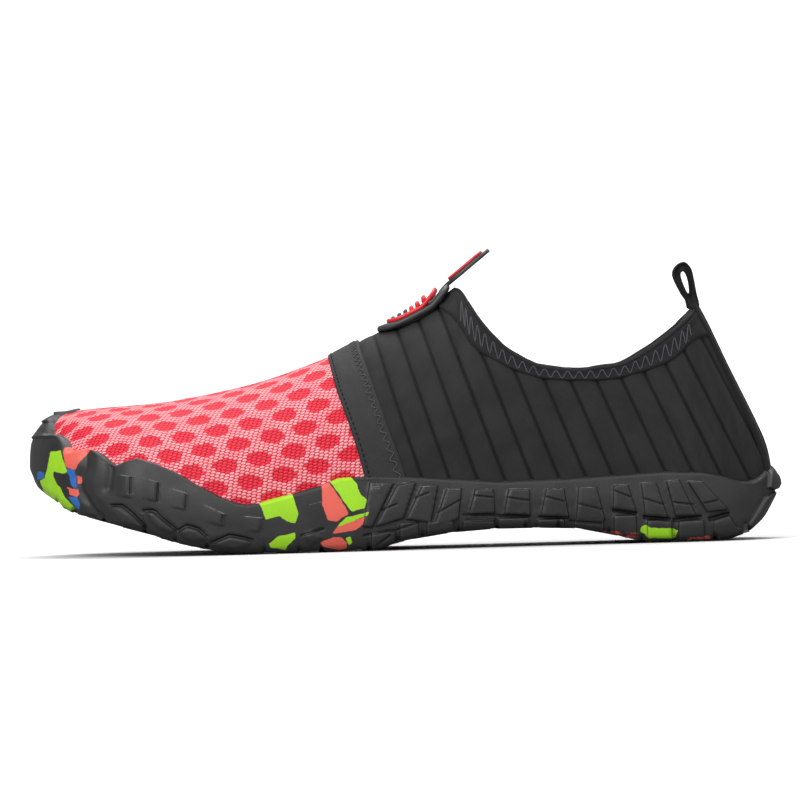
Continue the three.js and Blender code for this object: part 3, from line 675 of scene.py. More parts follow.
def meshMaterial():
    material, tree, shader = newMaterial("spacerMesh", 0.62, specular=0.25)
    cloth = placeOf(tree, "UV")
    net = useGroup(
        tree, threadRows, Vector=cloth, Dash=meshLook["dash"], Row=meshLook["row"], Slant=meshLook["slant"],
        Tilt=meshLook["tilt"], Shift=0.12, Wander=0.0004,
    )
    snapped = tree.nodes.new("ShaderNodeMix")
    snapped.data_type = "VECTOR"
    snapped.inputs[0].default_value = 0.7
    plug(tree, cloth, snapped.inputs[4])
    plug(tree, net["Cell"], snapped.inputs[5])
    parts = splitVector(tree, snapped.outputs[1])
    rows = over(tree, parts["Y"], meshLook["rowPitch"])
    row = calc(tree, "ROUND", rows)
    dv = times(tree, minus(tree, rows, row), meshLook["rowPitch"])
    places = over(tree, parts["X"], meshLook["alongPitch"])
    places = minus(tree, places, times(tree, calc(tree, "FLOORED_MODULO", row, 2.0), 0.5))
    du = times(tree, minus(tree, places, calc(tree, "ROUND", places)), meshLook["alongPitch"])
    c, n = math.cos(meshLook["dotTurn"]), math.sin(meshLook["dotTurn"])
    long = plus(tree, times(tree, du, c), times(tree, dv, n))
    wide = minus(tree, times(tree, dv, c), times(tree, du, n))
    long, wide = over(tree, long, meshLook["dotLength"]), over(tree, wide, meshLook["dotWidth"])
    away = lengthOf(tree, long, wide)
    dot = remap(tree, away, 1.06, 0.94)
    slow = remap(tree, noiseTone(tree, cloth, 150.0, 3.0), 0.3, 0.7)
    # painted shadow: the ground darkens towards one side of each thread
    ground = mixColour(
        tree, times(tree, net["PaintedShadow"], 0.7), paint(*meshLook["ground"]), paint(*meshLook["gap"])
    )
    ground = mixColour(tree, dot, ground, paint(*meshLook["dotGround"]))
    yarn = mixColour(tree, slow, paint(*meshLook["thread"]), paint(255, 158, 164))
    yarn = mixColour(tree, dot, yarn, paint(*meshLook["dotThread"]))
    plug(tree, mixColour(tree, net["Mask"], ground, yarn), shader.inputs["Base Color"])
    bumpFrom(tree, shader, net["Height"], 0.55, 0.0003)
    return material


# the groove colour is painted shade for the rib grooves
knitLook = {"black": (36, 36, 36), "worn": (44, 44, 45), "grooveShade": (10, 10, 10)}


def knitMaterial():
    material, tree, shader = newMaterial("ribbedKnit", 0.72, sheen=0.02, specular=0.2)
    cloth = placeOf(tree, "UV")
    rows = useGroup(tree, threadRows, Vector=cloth, Dash=0.0011, Row=0.00055, Slant=1.35, Wander=0.00008)
    rib = attributeValue(tree, "rib")
    nearGroove = calc(tree, "ABSOLUTE", minus(tree, rib, calc(tree, "ROUND", rib)))
    # painted shade darkens the rib grooves; the same mask also sinks them in the bump
    grooveShade = times(tree, remap(tree, nearGroove, 0.12, 0.01), attributeValue(tree, "ribbed"))
    slow = remap(tree, noiseTone(tree, cloth, 90.0, 3.0), 0.3, 0.7)
    colour = mixColour(tree, slow, paint(*knitLook["black"]), paint(*knitLook["worn"]))
    colour = mixColour(tree, times(tree, rows["Mask"], 0.2), colour, paint(58, 58, 60))
    plug(
        tree, mixColour(tree, times(tree, grooveShade, 0.85), colour, paint(*knitLook["grooveShade"])),
        shader.inputs["Base Color"],
    )
    height = minus(tree, times(tree, rows["Height"], 0.3), times(tree, grooveShade, 0.8))
    bumpFrom(tree, shader, height, 0.5, 0.0003)
    return material


def clothMaterial(
    name, dark, light, dash, row, slant, roughness, sheen=0.03, depth=0.00015, coordinates="UV"
):
    # plain woven or knitted trim
    material, tree, shader = newMaterial(name, roughness, sheen=sheen, specular=0.22)
    cloth = placeOf(tree, coordinates)
    rows = useGroup(tree, threadRows, Vector=cloth, Dash=dash, Row=row, Slant=slant, Wander=row * 0.2)
    slow = remap(tree, noiseTone(tree, cloth, 140.0, 3.0), 0.3, 0.7)
    colour = mixColour(tree, times(tree, rows["Mask"], 0.55), paint(*dark), paint(*light))
    colour = mixColour(tree, times(tree, slow, 0.25), colour, paint(*(c * 0.7 for c in dark)))
    plug(tree, colour, shader.inputs["Base Color"])
    bumpFrom(tree, shader, rows["Height"], 0.5, depth)
    return material


def mouldingMaterial(name, colour, shade, roughness):
    material, tree, shader = newMaterial(name, roughness, specular=0.5)
    grain = useGroup(tree, surfaceGrain, Vector=placeOf(tree), Fineness=2200.0, Patchiness=220.0)
    plug(tree, mixColour(tree, grain["Tone"], paint(*colour), paint(*shade)), shader.inputs["Base Color"])
    plug(
        tree, remap(tree, grain["Tone"], 0.0, 1.0, roughness - 0.05, roughness + 0.08),
        shader.inputs["Roughness"],
    )
    bumpFrom(tree, shader, grain["Height"], 0.2, 0.00012)
    return material


mouldedRubber = rubberMaterial()
spacerMesh = meshMaterial()
ribbedKnit = knitMaterial()
liningCloth = clothMaterial("liningCloth", (44, 44, 46), (66, 66, 68), 0.0014, 0.0008, 0.4, 0.9)
bandWebbing = clothMaterial("bandWebbing", (48, 48, 48), (66, 66, 66), 0.0016, 0.0006, 0.12, 0.66, 0.03)
bindingCloth = clothMaterial("bindingCloth", (32, 32, 33), (48, 48, 50), 0.0012, 0.0006, 1.4, 0.8)
tapeCloth = clothMaterial("tapeCloth", (31, 31, 32), (44, 44, 46), 0.0012, 0.0007, 0.0, 0.75)
insoleFoam = clothMaterial("insoleFoam", (40, 40, 42), (60, 60, 62), 0.0016, 0.0009, 0.7, 0.92)
stitchThread = clothMaterial(
    "stitchThread", (18, 18, 19), (34, 34, 36), 0.0006, 0.0003, 0.6, 0.7, coordinates="Object"
)
paleThread = clothMaterial(
    "paleThread", (74, 74, 77), (104, 104, 108), 0.0006, 0.0003, 0.6, 0.7, coordinates="Object"
)
blackMoulding = mouldingMaterial("blackMoulding", (50, 52, 52), (62, 64, 64), 0.45)
redMoulding = mouldingMaterial("redMoulding", (216, 30, 42), (234, 56, 58), 0.42)
print("materials ready")

upperMake = {
    "wall": 1.9,
    "vampStations": 170,
    "quarterStations": 250,
    "girthRows": 66,
    "liningRows": 18,
    "ribBulge": 0.5,
    "grooveDepth": 0.3,
    "dotDepth": 0.3,
}
tipX, heelX = xAt(shoe["formTip"] - 1e-5), xAt(shoe["formHeel"] + 1e-5)
seamX = xAt(0.548)


def collarHeight(x):
    at = shareAt(x)
    open_ = (at > 0.1) & (at < 0.423)
    return np.where(open_, collarShare(at) * shoe["instepHeight"], 1e3)


def collarAngle(x):
    return angleAt(x, np.minimum(collarHeight(x), topHeight(x)))


def collarSpread(x):
    return 1.2 * halfWidth(x, -1) * np.cos(collarAngle(x))


def ribNumber(x, z):
    # a whole number at each groove of the ribbed quarter, counted from the band to the heel
    h = z - (26.3 - 0.0269 * (x - 6.4))
    return (x - 6.4 + 0.313 * h) / (9.94 - 0.0145 * h)


def bandEdge(z, number):
    rows = [(row[0] * shoe["instepHeight"], xAt(row[number])) for row in bandRows]
    return np.interp(z, [row[0] for row in rows], [row[1] for row in rows])


def ridgeWay(xs):
    x = np.linspace(tipX, heelX, 8001)
    way = np.concatenate([[0], np.cumsum(np.hypot(np.diff(x), np.diff(topHeight(x))))])
    return np.interp(xs, x, way)


def girthFromRidge(x, angle, side):
    # distance over the form from its top line, for one angle at each place
    t = np.linspace(0, 1, 60)
    angles = np.pi / 2 + (angle[..., None] - np.pi / 2) * t
    path = formPoint(np.broadcast_to(x[..., None], angles.shape), angles, side)
    return np.linalg.norm(np.diff(path, axis=-2), axis=-1).sum(-1)


def knitPlace(u, v):
    # the knit's own grid, pulled over the last: u along the top line and v round the form, in mm
    w = np.maximum(v, 15.0)
    extra = v - w
    along = -1.897 + 0.08689 * u + 0.02146 * w - 3.38e-5 * u * u - 8.05e-5 * u * w - 3.125e-4 * w * w
    along = along + extra * (0.02146 - 8.05e-5 * u - 6.25e-4 * w)
    row = -3.2548 + 0.020746 * u + 0.11978 * w - 3.33e-5 * u * u - 6.04e-5 * u * w + 1.036e-4 * w * w
    row = row + extra * (0.11978 - 6.04e-5 * u + 2.072e-4 * w)
    return along * meshLook["alongPitch"], row * meshLook["rowPitch"]


def withFoot(numbers):
    # the row under the form takes the numbers of the lowest one
    return np.concatenate([numbers[:, :1], numbers], axis=1).ravel()


def makeUpper():
    a = stationsBetween(tipX, seamX, upperMake["vampStations"])
    b = stationsBetween(seamX, heelX, upperMake["quarterStations"], collarSpread)
    xs = np.concatenate([a, b[1:]])
    count = len(xs)
    points, quads, slots, values, uvs = [], [], [], {"rib": [], "ribbed": []}, []
    closed = collarAngle(xs) > np.pi / 2 - 1e-6
    start, columns = 0, {}
    for side in (-1, 1):
        for layer, rows in (("outer", upperMake["girthRows"]), ("inner", upperMake["liningRows"])):
            t = np.linspace(0, 1, rows)
            angle = collarAngle(xs)[:, None] * t[None, :]
            x = np.repeat(xs[:, None], rows, axis=1)
            place = formPoint(x, angle, side)
            u, v = ridgeWay(x), girthFromRidge(x, angle, side) * -side
            back = place[..., 0] > (bandEdge(place[..., 2], 1) + bandEdge(place[..., 2], 2)) / 2
            knitU, knitV = knitPlace(u, v)
            u, v = np.where(back, u / 1000, knitU), np.where(back, v / 1000, knitV)
            rib = ribNumber(place[..., 0], place[..., 2])
            behind = smoothStep(place[..., 0] - bandEdge(place[..., 2], 2), -1.0, 2.0)
            if layer == "outer":
                t = 2 * np.abs(rib - np.round(rib))
                puff = upperMake["ribBulge"] * (1 - (1 - t) ** 2) - upperMake["grooveDepth"] * np.exp(
                    -((t / 0.18) ** 2)
                )
                puff = puff * (1 - 0.8 * smoothStep(angle, 1.15, 1.5))
                low = smoothStep(place[..., 2], 14, 24)
                dots = smoothStep(dotDistance(u, v), -0.12, 0.2) * (1 - behind)
                lift = puff * behind * low - upperMake["dotDepth"] * dots + 0.1 * (1 - behind)
            else:
                lift = np.full(rib.shape, -upperMake["wall"])
            shell = raised(place, lift)
            foot = shell[:, :1].copy()
            foot[..., 2] = baseHeight(foot[..., 0]) - 3
            shell = np.concatenate([foot, shell], axis=1)
            index = start + np.arange(count * (rows + 1)).reshape(count, rows + 1)
            columns[side, layer] = index
            start += index.size
            points.append(shell.reshape(-1, 3))
            values["rib"].append(withFoot(rib))
            values["ribbed"].append(withFoot(behind))
            uvs.append(np.stack([withFoot(u), withFoot(v)], axis=-1))
            faces = gridQuads(index)
            rear = np.concatenate([back[:, :1], back], axis=1).astype(int)
            kind = np.full(faces.shape[:2], 2) if layer == "inner" else rear[:-1, :-1]
            if (side > 0) == (layer == "outer"):
                faces = faces[..., ::-1]
            quads.append(faces.reshape(-1, 4))
            slots.append(kind.ravel())
        outer, inner = columns[side, "outer"], columns[side, "inner"]
        open_ = ~(closed[:-1] & closed[1:])
        for row, keep in ((0, np.ones(count - 1, bool)), (-1, open_)):
            strip = np.stack(
                [outer[:-1, row], outer[1:, row], inner[1:, row], inner[:-1, row]], axis=-1
            )[keep]
            quads.append(strip if (side > 0) == (row == 0) else strip[:, ::-1])
            slots.append(np.full(len(strip), 2))
    for end in (0, -1):
        for layer in ("outer", "inner"):
            left, right = columns[-1, layer][end], columns[1, layer][end]
            cap = np.stack([left[:-1], left[1:], right[1:], right[:-1]], axis=-1)
            quads.append(cap if (end == 0) == (layer == "outer") else cap[:, ::-1])
            slots.append(
                np.full(len(cap), 0 if layer == "outer" and end == 0 else (1 if layer == "outer" else 2))
            )
        order = ((-1, "outer"), (1, "outer"), (1, "inner"), (-1, "inner"))
        under = np.array([[columns[key][end, 0] for key in order]])
        quads.append(under if end == 0 else under[:, ::-1])
        slots.append(np.array([2]))
    piece = newPiece(
        "upper_cloth",
        np.concatenate(points),
        np.concatenate(quads),
        [spacerMesh, ribbedKnit, liningCloth],
        np.concatenate(slots),
        {key: np.concatenate(parts) for key, parts in values.items()},
        np.concatenate(uvs),
    )
    return finishPiece(piece, ["upper"])


# Corners of the raised blocks along the sole's upper row, seen from the side
upperBlocks = [
    [(-2.5, 23.2), (4.2, 24.1), (-0.6, 11.4), (-10.6, 8.7)],
    [(6.7, 23.0), (12.2, 22.8), (9.3, 9.6), (0.6, 11.0)],
    [(15.5, 21.6), (20.7, 21.5), (19.3, 10.5), (10.6, 8.1)],
    [(25.8, 21.0), (32.4, 20.8), (32.6, 12.3), (23.4, 12.2)],
    [(37.9, 20.6), (45.3, 20.4), (45.4, 11.2), (36.2, 11.9)],
    [(51.6, 20.3), (57.8, 20.5), (59.4, 10.1), (49.5, 10.8)],
    [(63.4, 20.7), (69.6, 20.9), (72.6, 8.7), (62.3, 8.6)],
    [(76.2, 20.7), (81.1, 21.3), (84.1, 10.6), (75.7, 12.3)],
    [(86.2, 21.6), (91.4, 21.8), (95.4, 8.8), (87.4, 9.7)],
    [(95.4, 22.0), (99.9, 22.3), (105.8, 9.2), (98.4, 9.4)],
    [(103.2, 21.8), (108.0, 21.7), (117.6, 11.1), (109.9, 10.6)],
    [(-12.4, 24.6), (-3.9, 24.0), (-12.1, 8.4), (-15.0, 8.8)],
    [(112.4, 7.2), (117.9, 8.9), (120.4, 4.8), (122.6, 4.1), (122.6, -3.0), (112.2, -3.0)],
]
# wedges of the forefoot wall, flush in front and standing out at the back
toeBlocks = [
    [(-104.0, 29.9), (-98.5, 28.8), (-98.7, 21.5), (-104.6, 22.5)],
    [(-94.0, 28.2), (-88.7, 26.7), (-89.4, 19.9), (-94.5, 21.0)],
    [(-84.2, 24.5), (-78.6, 22.3), (-79.2, 16.5), (-84.9, 18.0)],
    [(-72.2, 18.3), (-65.2, 14.8), (-66.0, 10.5), (-72.8, 12.5)],
    [(-57.8, 13.8), (-51.5, 12.9), (-52.5, 8.0), (-58.5, 8.6)],
]
heelLugs = [
    [(124.9, 5.0), (131.7, 15.0), (135.0, 16.6), (142.0, 17.2), (142.0, -3.0), (125.6, -3.0)],
    [(132.9, 18.6), (133.8, 24.8), (136.4, 28.4), (142.0, 29.5), (142.0, 18.4), (134.6, 17.6)],
]
# slits in the blocks, carved into the relief and painted with shade
blockCuts = [
    [(-8.3, 14.5), (-2.7, 16.6)], [(4.0, 18.6), (8.8, 20.3)], [(12.0, 12.9), (20.2, 17.4)],
    [(25.4, 18.8), (32.0, 17.9)], [(37.5, 17.7), (45.6, 16.4)], [(51.1, 17.7), (58.1, 15.7)],
    [(63.2, 14.8), (71.6, 12.4)], [(76.2, 19.2), (82.4, 16.5)], [(86.8, 16.0), (94.1, 13.6)],
    [(97.4, 14.3), (105.1, 13.3)], [(108.5, 13.6), (113.7, 14.6)],
]
# gaps under blocks and behind wedges, carved into the relief and painted with shade: line and half width
underCuts = [
    ([(21.2, 11.9), (35.1, 11.3)], 0.3), ([(21.8, 9.9), (32.7, 9.3)], 0.28),
    ([(34.3, 11.0), (45.2, 10.7)], 0.35),
    ([(48.8, 10.4), (59.2, 9.7)], 0.35), ([(59.9, 8.5), (71.3, 7.4)], 0.4),
    ([(75.8, 12.1), (83.8, 10.7)], 0.55),
    ([(87.0, 9.2), (96.1, 8.0)], 0.6), ([(97.9, 7.8), (107.4, 8.6)], 0.65),
    ([(111.0, 7.8), (117.6, 9.3)], 0.7),
    ([(-37.6, 6.1), (-29.6, 8.3)], 0.35), ([(-15.0, 5.5), (-4.6, 7.0)], 0.35),
    ([(-4.6, 6.7), (5.3, 9.8)], 0.3),
    ([(-10.2, 1.9), (-5.5, 5.3)], 0.3),
    ([(-106.0, 18.7), (-102.0, 18.6), (-98.2, 15.4), (-93.8, 10.7)], 0.5),
    ([(-94.2, 16.6), (-90.8, 16.5), (-85.3, 11.6), (-82.0, 8.9)], 0.5),
    ([(-82.0, 8.9), (-78.6, 10.8), (-74.5, 9.4), (-71.9, 6.9)], 0.5),
    ([(-70.0, 4.3), (-63.4, 6.9), (-59.0, 6.0), (-55.0, 4.8)], 0.5), ([(-98.5, 28.6), (-98.7, 22.9)], 0.27),
    ([(-88.7, 26.4), (-89.3, 19.9)], 0.32), ([(-78.7, 22.0), (-79.2, 17.0)], 0.16),
    ([(-65.5, 14.4), (-66.1, 11.6)], 0.14),
]
# thin painted highlights along upper edges, where the top ledges catch the light
highlightLines = [
    [(28.0, 20.9), (32.0, 21.0)], [(38.2, 20.8), (45.5, 20.7)], [(51.7, 20.5), (57.7, 20.3)],
    [(63.5, 20.7), (69.5, 20.6)],
    [(76.1, 21.3), (81.5, 21.1)], [(85.9, 21.7), (91.4, 22.0)], [(95.4, 22.2), (99.7, 22.3)],
    [(103.0, 22.0), (108.8, 21.5)],
    [(-12.1, 23.6), (-7.2, 23.7)], [(-12.2, 22.8), (-8.0, 23.0)], [(-12.5, 22.0), (-9.0, 22.1)],
    [(-12.8, 21.2), (-10.4, 21.3)],
    [(-2.2, 24.0), (1.2, 24.1)], [(5.9, 22.5), (9.6, 22.6)], [(15.4, 21.5), (20.5, 21.2)],
    [(-34.5, 17.1), (-29.9, 18.2)],
    [(-57.5, 13.6), (-51.5, 12.9)], [(-102.3, 29.6), (-98.5, 28.8)], [(-92.5, 27.9), (-88.8, 26.8)],
    [(-83.3, 24.2), (-78.4, 22.4)], [(-71.9, 18.0), (-65.0, 14.7)],
]
# Opposite corners of the lugs along the sole's lower edge
lowerLugs = [
    ((-12.2, 6.5), (-3.8, 0.5)), ((-1.8, 9.6), (4.7, 2.5)), ((8.0, 9.6), (17.5, 4.5)),
    ((21.1, 10.0), (32.4, 6.1)),
    ((34.0, 10.1), (44.9, 6.5)), ((48.0, 9.3), (57.8, 6.1)), ((61.5, 9.0), (72.0, 5.0)),
    ((76.0, 10.0), (83.9, 3.0)),
    ((88.1, 7.9), (96.8, -3.0)), ((99.5, 7.4), (108.5, -3.0)),
]
toeLugs = [
    [
        (-106.5, 18.6), (-102.0, 18.5), (-98.7, 15.9), (-96.5, 12.4), (-93.8, 10.4), (-100.5, 11.4),
        (-103.3, 12.6), (-105.5, 16.1),
    ],
    [
        (-93.6, 16.0), (-90.5, 16.5), (-87.5, 14.4), (-85.0, 11.6), (-82.0, 8.9), (-85.4, 7.9),
        (-88.7, 9.4), (-92.0, 12.9),
    ],
    [(-82.0, 8.9), (-79.1, 10.8), (-75.2, 9.6), (-71.6, 7.3), (-71.9, 5.6), (-75.3, 4.8), (-79.3, 5.5)],
    [(-70.0, 4.1), (-63.4, 6.8), (-59.0, 5.8), (-55.0, 4.8), (-56.8, 2.9), (-60.8, 1.6), (-66.4, 2.0)],
    [(-37.5, 6.6), (-33.5, 8.3), (-29.6, 5.0), (-34.0, 2.2)],
]
creases = [
    [(-105.8, 36.5), (-106.4, 31.0), (-107.4, 25.0)],
    [(-115.3, 39.0), (-115.9, 33.0), (-118.4, 28.6), (-117.4, 23.8), (-113.3, 17.4), (-109.3, 13.2)],
]
toeScales = [43.6, 49.3, 52.3, 58.0]  # heights of the overlapping scales round the toe's tip

# Patches of coloured rubber, outlines seen from the side
limePatches = [
    [(-128.3, 38.4), (-124.0, 38.8), (-123.8, 36.8), (-122.5, 33.4), (-122.3, 30.6), (-124.2, 30.7),
     (-127.1, 31.3), (-127.1, 29.6), (-125.0, 25.0), (-123.9, 22.2), (-119.8, 17.9), (-122.3, 16.4),
     (-127.3, 19.0), (-132.0, 23.6),
     (-133.5, 28.0), (-130.5, 29.7), (-129.6, 32.5), (-128.9, 35.3)],
    [(-52.5, 18.5), (-50.0, 20.5), (-40.8, 23.0), (-39.4, 17.8), (-38.3, 14.1), (-39.6, 10.5), (-42.9, 11.5),
     (-45.3, 13.4), (-50.2, 12.3), (-51.1, 15.1)],
    [
        (-49.3, 3.4), (-46.1, 6.1), (-40.6, 7.1), (-39.7, 7.4), (-39.7, 5.3), (-42.6, 2.6), (-43.2, 1.1),
        (-48.7, 2.2),
    ],
    [(-27.4, 26.5), (-19.6, 27.5), (-16.9, 23.9), (-15.8, 20.2), (-13.4, 18.3), (-14.4, 15.3), (-19.0, 14.2),
     (-21.4, 17.3), (-24.3, 21.7)],
    [(-24.7, 8.9), (-21.5, 12.1), (-12.9, 14.0), (-13.6, 12.8), (-17.9, 11.1), (-22.8, 9.4)],
    [(-21.7, 4.8), (-19.9, 5.4), (-19.2, 3.2), (-20.3, 1.7), (-21.2, 3.3)],
    [
        (85.5, 5.7), (87.3, 6.6), (88.7, 5.3), (97.5, 4.8), (99.2, 3.9), (98.1, 1.2), (87.9, 1.6),
        (86.9, 3.2), (85.4, 3.9),
    ],
]
coralPatches = [
    [(-123.5, 38.5), (-122.5, 41.5), (-112.4, 41.5), (-112.4, 40.2), (-115.6, 38.3), (-118.5, 33.3),
     (-119.4, 31.7), (-122.5, 32.9)],
    [(-122.7, 26.1), (-118.8, 24.3), (-118.0, 23.2), (-119.1, 22.1), (-121.6, 22.7)],
    [(-119.5, 30.2), (-118.0, 29.4), (-118.1, 27.1), (-119.3, 26.6)],
    [
        (-29.8, 26.0), (-27.0, 24.8), (-24.4, 21.1), (-21.4, 16.1), (-20.3, 13.6), (-24.6, 10.7),
        (-27.7, 11.4), (-29.7, 16.9),
    ],
    [(-26.3, 6.5), (-24.1, 9.4), (-17.9, 11.1), (-14.2, 12.5), (-14.9, 9.8), (-18.0, 7.5), (-24.1, 6.7)],
    [(-30.9, 3.5), (-26.0, 5.2), (-22.9, 5.1), (-21.2, 3.3), (-21.2, 1.1), (-24.3, 0.5), (-30.4, 2.0)],
]
# coral at the sole's bottom edge, painted at part strength: real coral, darkened as painted shade
shadedCoralPatches = [
    [(71.1, 4.3), (74.1, 4.6), (85.0, 3.7), (85.0, 1.6), (74.8, 2.0)],
    [(102.0, 1.4), (111.0, 1.8), (111.0, 0.4), (102.0, 0.2)],
]
bluePatches = [
    [
        (-122.5, 32.3), (-119.7, 31.9), (-119.5, 30.2), (-119.6, 27.1), (-118.8, 24.3), (-121.0, 26.1),
        (-121.7, 29.5),
    ],
    [(-122.2, 22.1), (-119.1, 22.1), (-117.8, 19.2), (-118.4, 17.2), (-120.6, 19.4)],
    [(-134.6, 31.2), (-131.8, 31.4), (-130.5, 30.3), (-132.5, 28.6), (-134.6, 28.4)],
]

soleMake = {
    "stations": 460,
    "wallRows": 68,
    "footRows": 22,
    "bottomRows": 14,
    "insideRows": 5,
    "floorRows": 6,
    "blockHeight": 1.15,
    "lugHeight": 1.0,
    "notches": [
        -126, -120, -109.2, -94, -83, -71.5, -51, -38.5, -30.5, -13.4, -3.0, 6.3, 19.3, 33.2, 43.6, 55.6,
        74, 86, 98, 112.6, 124.2,
    ],
    "heelHeight": 1.5,
    "creaseDepth": 1.6,
}


def rimOutline(rows):
    line = [(float(xAt(at)), share * shoe["rimHeight"]) for at, share in rows]
    return line + [(-170.0, 60.0), (-170.0, -30.0), (170.0, -30.0), (170.0, 31.5)]


def tongueWidth(x):
    # half width of the rubber that laps over the toe's top line
    return np.interp(
        x, [-137, -134, -131.5, -130.2, -129.2, -128, -125, -122, -120, -118.5, -116],
        [60, 24, 17, 13, 8, 6, 5, 4.5, 3.5, -1, -8],
    )


def rubberDistance(x, y, z, side):
    d = outlineDistance(x, z, rimOutline(outerRim if side < 0 else innerRim))
    return np.maximum(d, tongueWidth(x) - np.abs(y - centreLine(x)))


def nearest(x, z, outlines):
    return np.max([outlineDistance(x, z, outline) for outline in outlines], axis=0)


def patchColours(x, z, side):
    # the inner side gets the same patches, moved along a little
    moved = x if side < 0 else x + 4.0
    # the bottom coral patches get coral at part strength, a painted shade
    shadedCoral = np.minimum(nearest(moved, z, shadedCoralPatches), 0.0)
    return {
        "lime": np.clip(nearest(moved, z, limePatches), -3, 3),
        "coral": np.clip(np.maximum(nearest(moved, z, coralPatches), shadedCoral), -3, 3),
        "blue": np.clip(nearest(moved, z, bluePatches), -3, 3),
    }


def strokes(x, z, lines):
    # nearest of the lines: signed offset in half widths, distance inside its ends, half width
    best = np.full(np.shape(x), 1e9)
    offset, inside, width = best * 0 + 9, best * 0 - 1, best * 0 + 0.2
    for line, half in lines:
        for (ax, az), (bx, bz) in zip(line, line[1:]):
            dx, dz = bx - ax, bz - az
            size = math.hypot(dx, dz)
            along, off = ((x - ax) * dx + (z - az) * dz) / size, ((z - az) * dx - (x - ax) * dz) / size
            end = np.minimum(along, size - along)
            d = np.hypot(off, np.minimum(end, 0))
            near = d < best
            best = np.where(near, d, best)
            offset = np.where(near, np.clip(off, -2, 2) / half, offset)
            inside = np.where(near, np.clip(np.minimum(end + half, 2 - np.abs(off)), -1, 1), inside)
            width = np.where(near, half, width)
    return offset, inside, width


lugBoxes = [[(a, b), (c, b), (c, d), (a, d)] for (a, b), (c, d) in lowerLugs]
# the cuts are carved into the relief and painted with shade
shadedCutStrokes = [(line, 0.24) for line in blockCuts] + underCuts
# painted highlight lines along upper edges
highlightStrokes = [(line, 0.15) for line in highlightLines]


def blockDistances(x, z):
    block = np.maximum(
        np.maximum(nearest(x, z, upperBlocks), nearest(x, z, lugBoxes)), nearest(x, z, heelLugs)
    )
    cutOff, cutIn, _ = strokes(x, z, shadedCutStrokes)
    lineOff, lineIn, _ = strokes(x, z, highlightStrokes)
    return {
        "block": np.clip(block, -2, 2), "cutOff": cutOff, "cutIn": cutIn, "lineOff": lineOff,
        "lineIn": lineIn,
    }


def edgeNotch(x):
    # gaps between the lugs along the lower edge
    near = np.min([np.abs(x - place) for place in soleMake["notches"]], axis=0)
    return 0.15 + 1.3 * (1 - smoothStep(near, 0.3, 0.9))


def scaleSteps(x, z):
    # overlapping scales round the toe's tip, each thick at its lower edge
    lift = np.zeros(np.shape(x))
    for low, high in zip(toeScales, toeScales[1:]):
        lift = np.where((z >= low) & (z < high), 1 - (z - low) / (high - low), lift)
    return 0.9 * lift * smoothStep(-x, 124, 129)


def soleRelief(x, z):
    relief = smoothStep(nearest(x, z, upperBlocks), -0.25, 0.35) * soleMake["blockHeight"]
    relief = np.maximum(relief, smoothStep(nearest(x, z, lugBoxes), -0.25, 0.35) * soleMake["lugHeight"])
    relief = np.maximum(relief, smoothStep(nearest(x, z, heelLugs), -0.3, 0.3) * soleMake["heelHeight"])
    relief = np.maximum(relief, smoothStep(nearest(x, z, toeLugs), -0.5, 1.2) * soleMake["lugHeight"])
    for outline in toeBlocks:
        ramp = np.clip((x - outline[3][0]) / (outline[1][0] - outline[3][0]), 0, 1)
        relief = np.maximum(relief, smoothStep(outlineDistance(x, z, outline), -0.2, 0.2) * ramp * 0.9)
    offset, inside, half = strokes(x, z, shadedCutStrokes)
    relief -= np.minimum(1.1, half * 1.9) * np.exp(-(offset**2) / 1.6) * smoothStep(inside, 0.0, 0.4)
    fold = np.min([lineDistance(x, z, line) for line in creases], axis=0)
    lobes = smoothStep(-x, 90, 104) * (1 - smoothStep(z, 42, 46))
    relief += (
        0.9 * smoothStep(fold, 1.0, 7.0) - soleMake["creaseDepth"] * np.exp(-((fold / 1.3) ** 2))
    ) * lobes
    return relief + scaleSteps(x, z)


plainStrokes = [("cutOff", 9.0), ("cutIn", -1.0), ("lineOff", 9.0), ("lineIn", -1.0)]


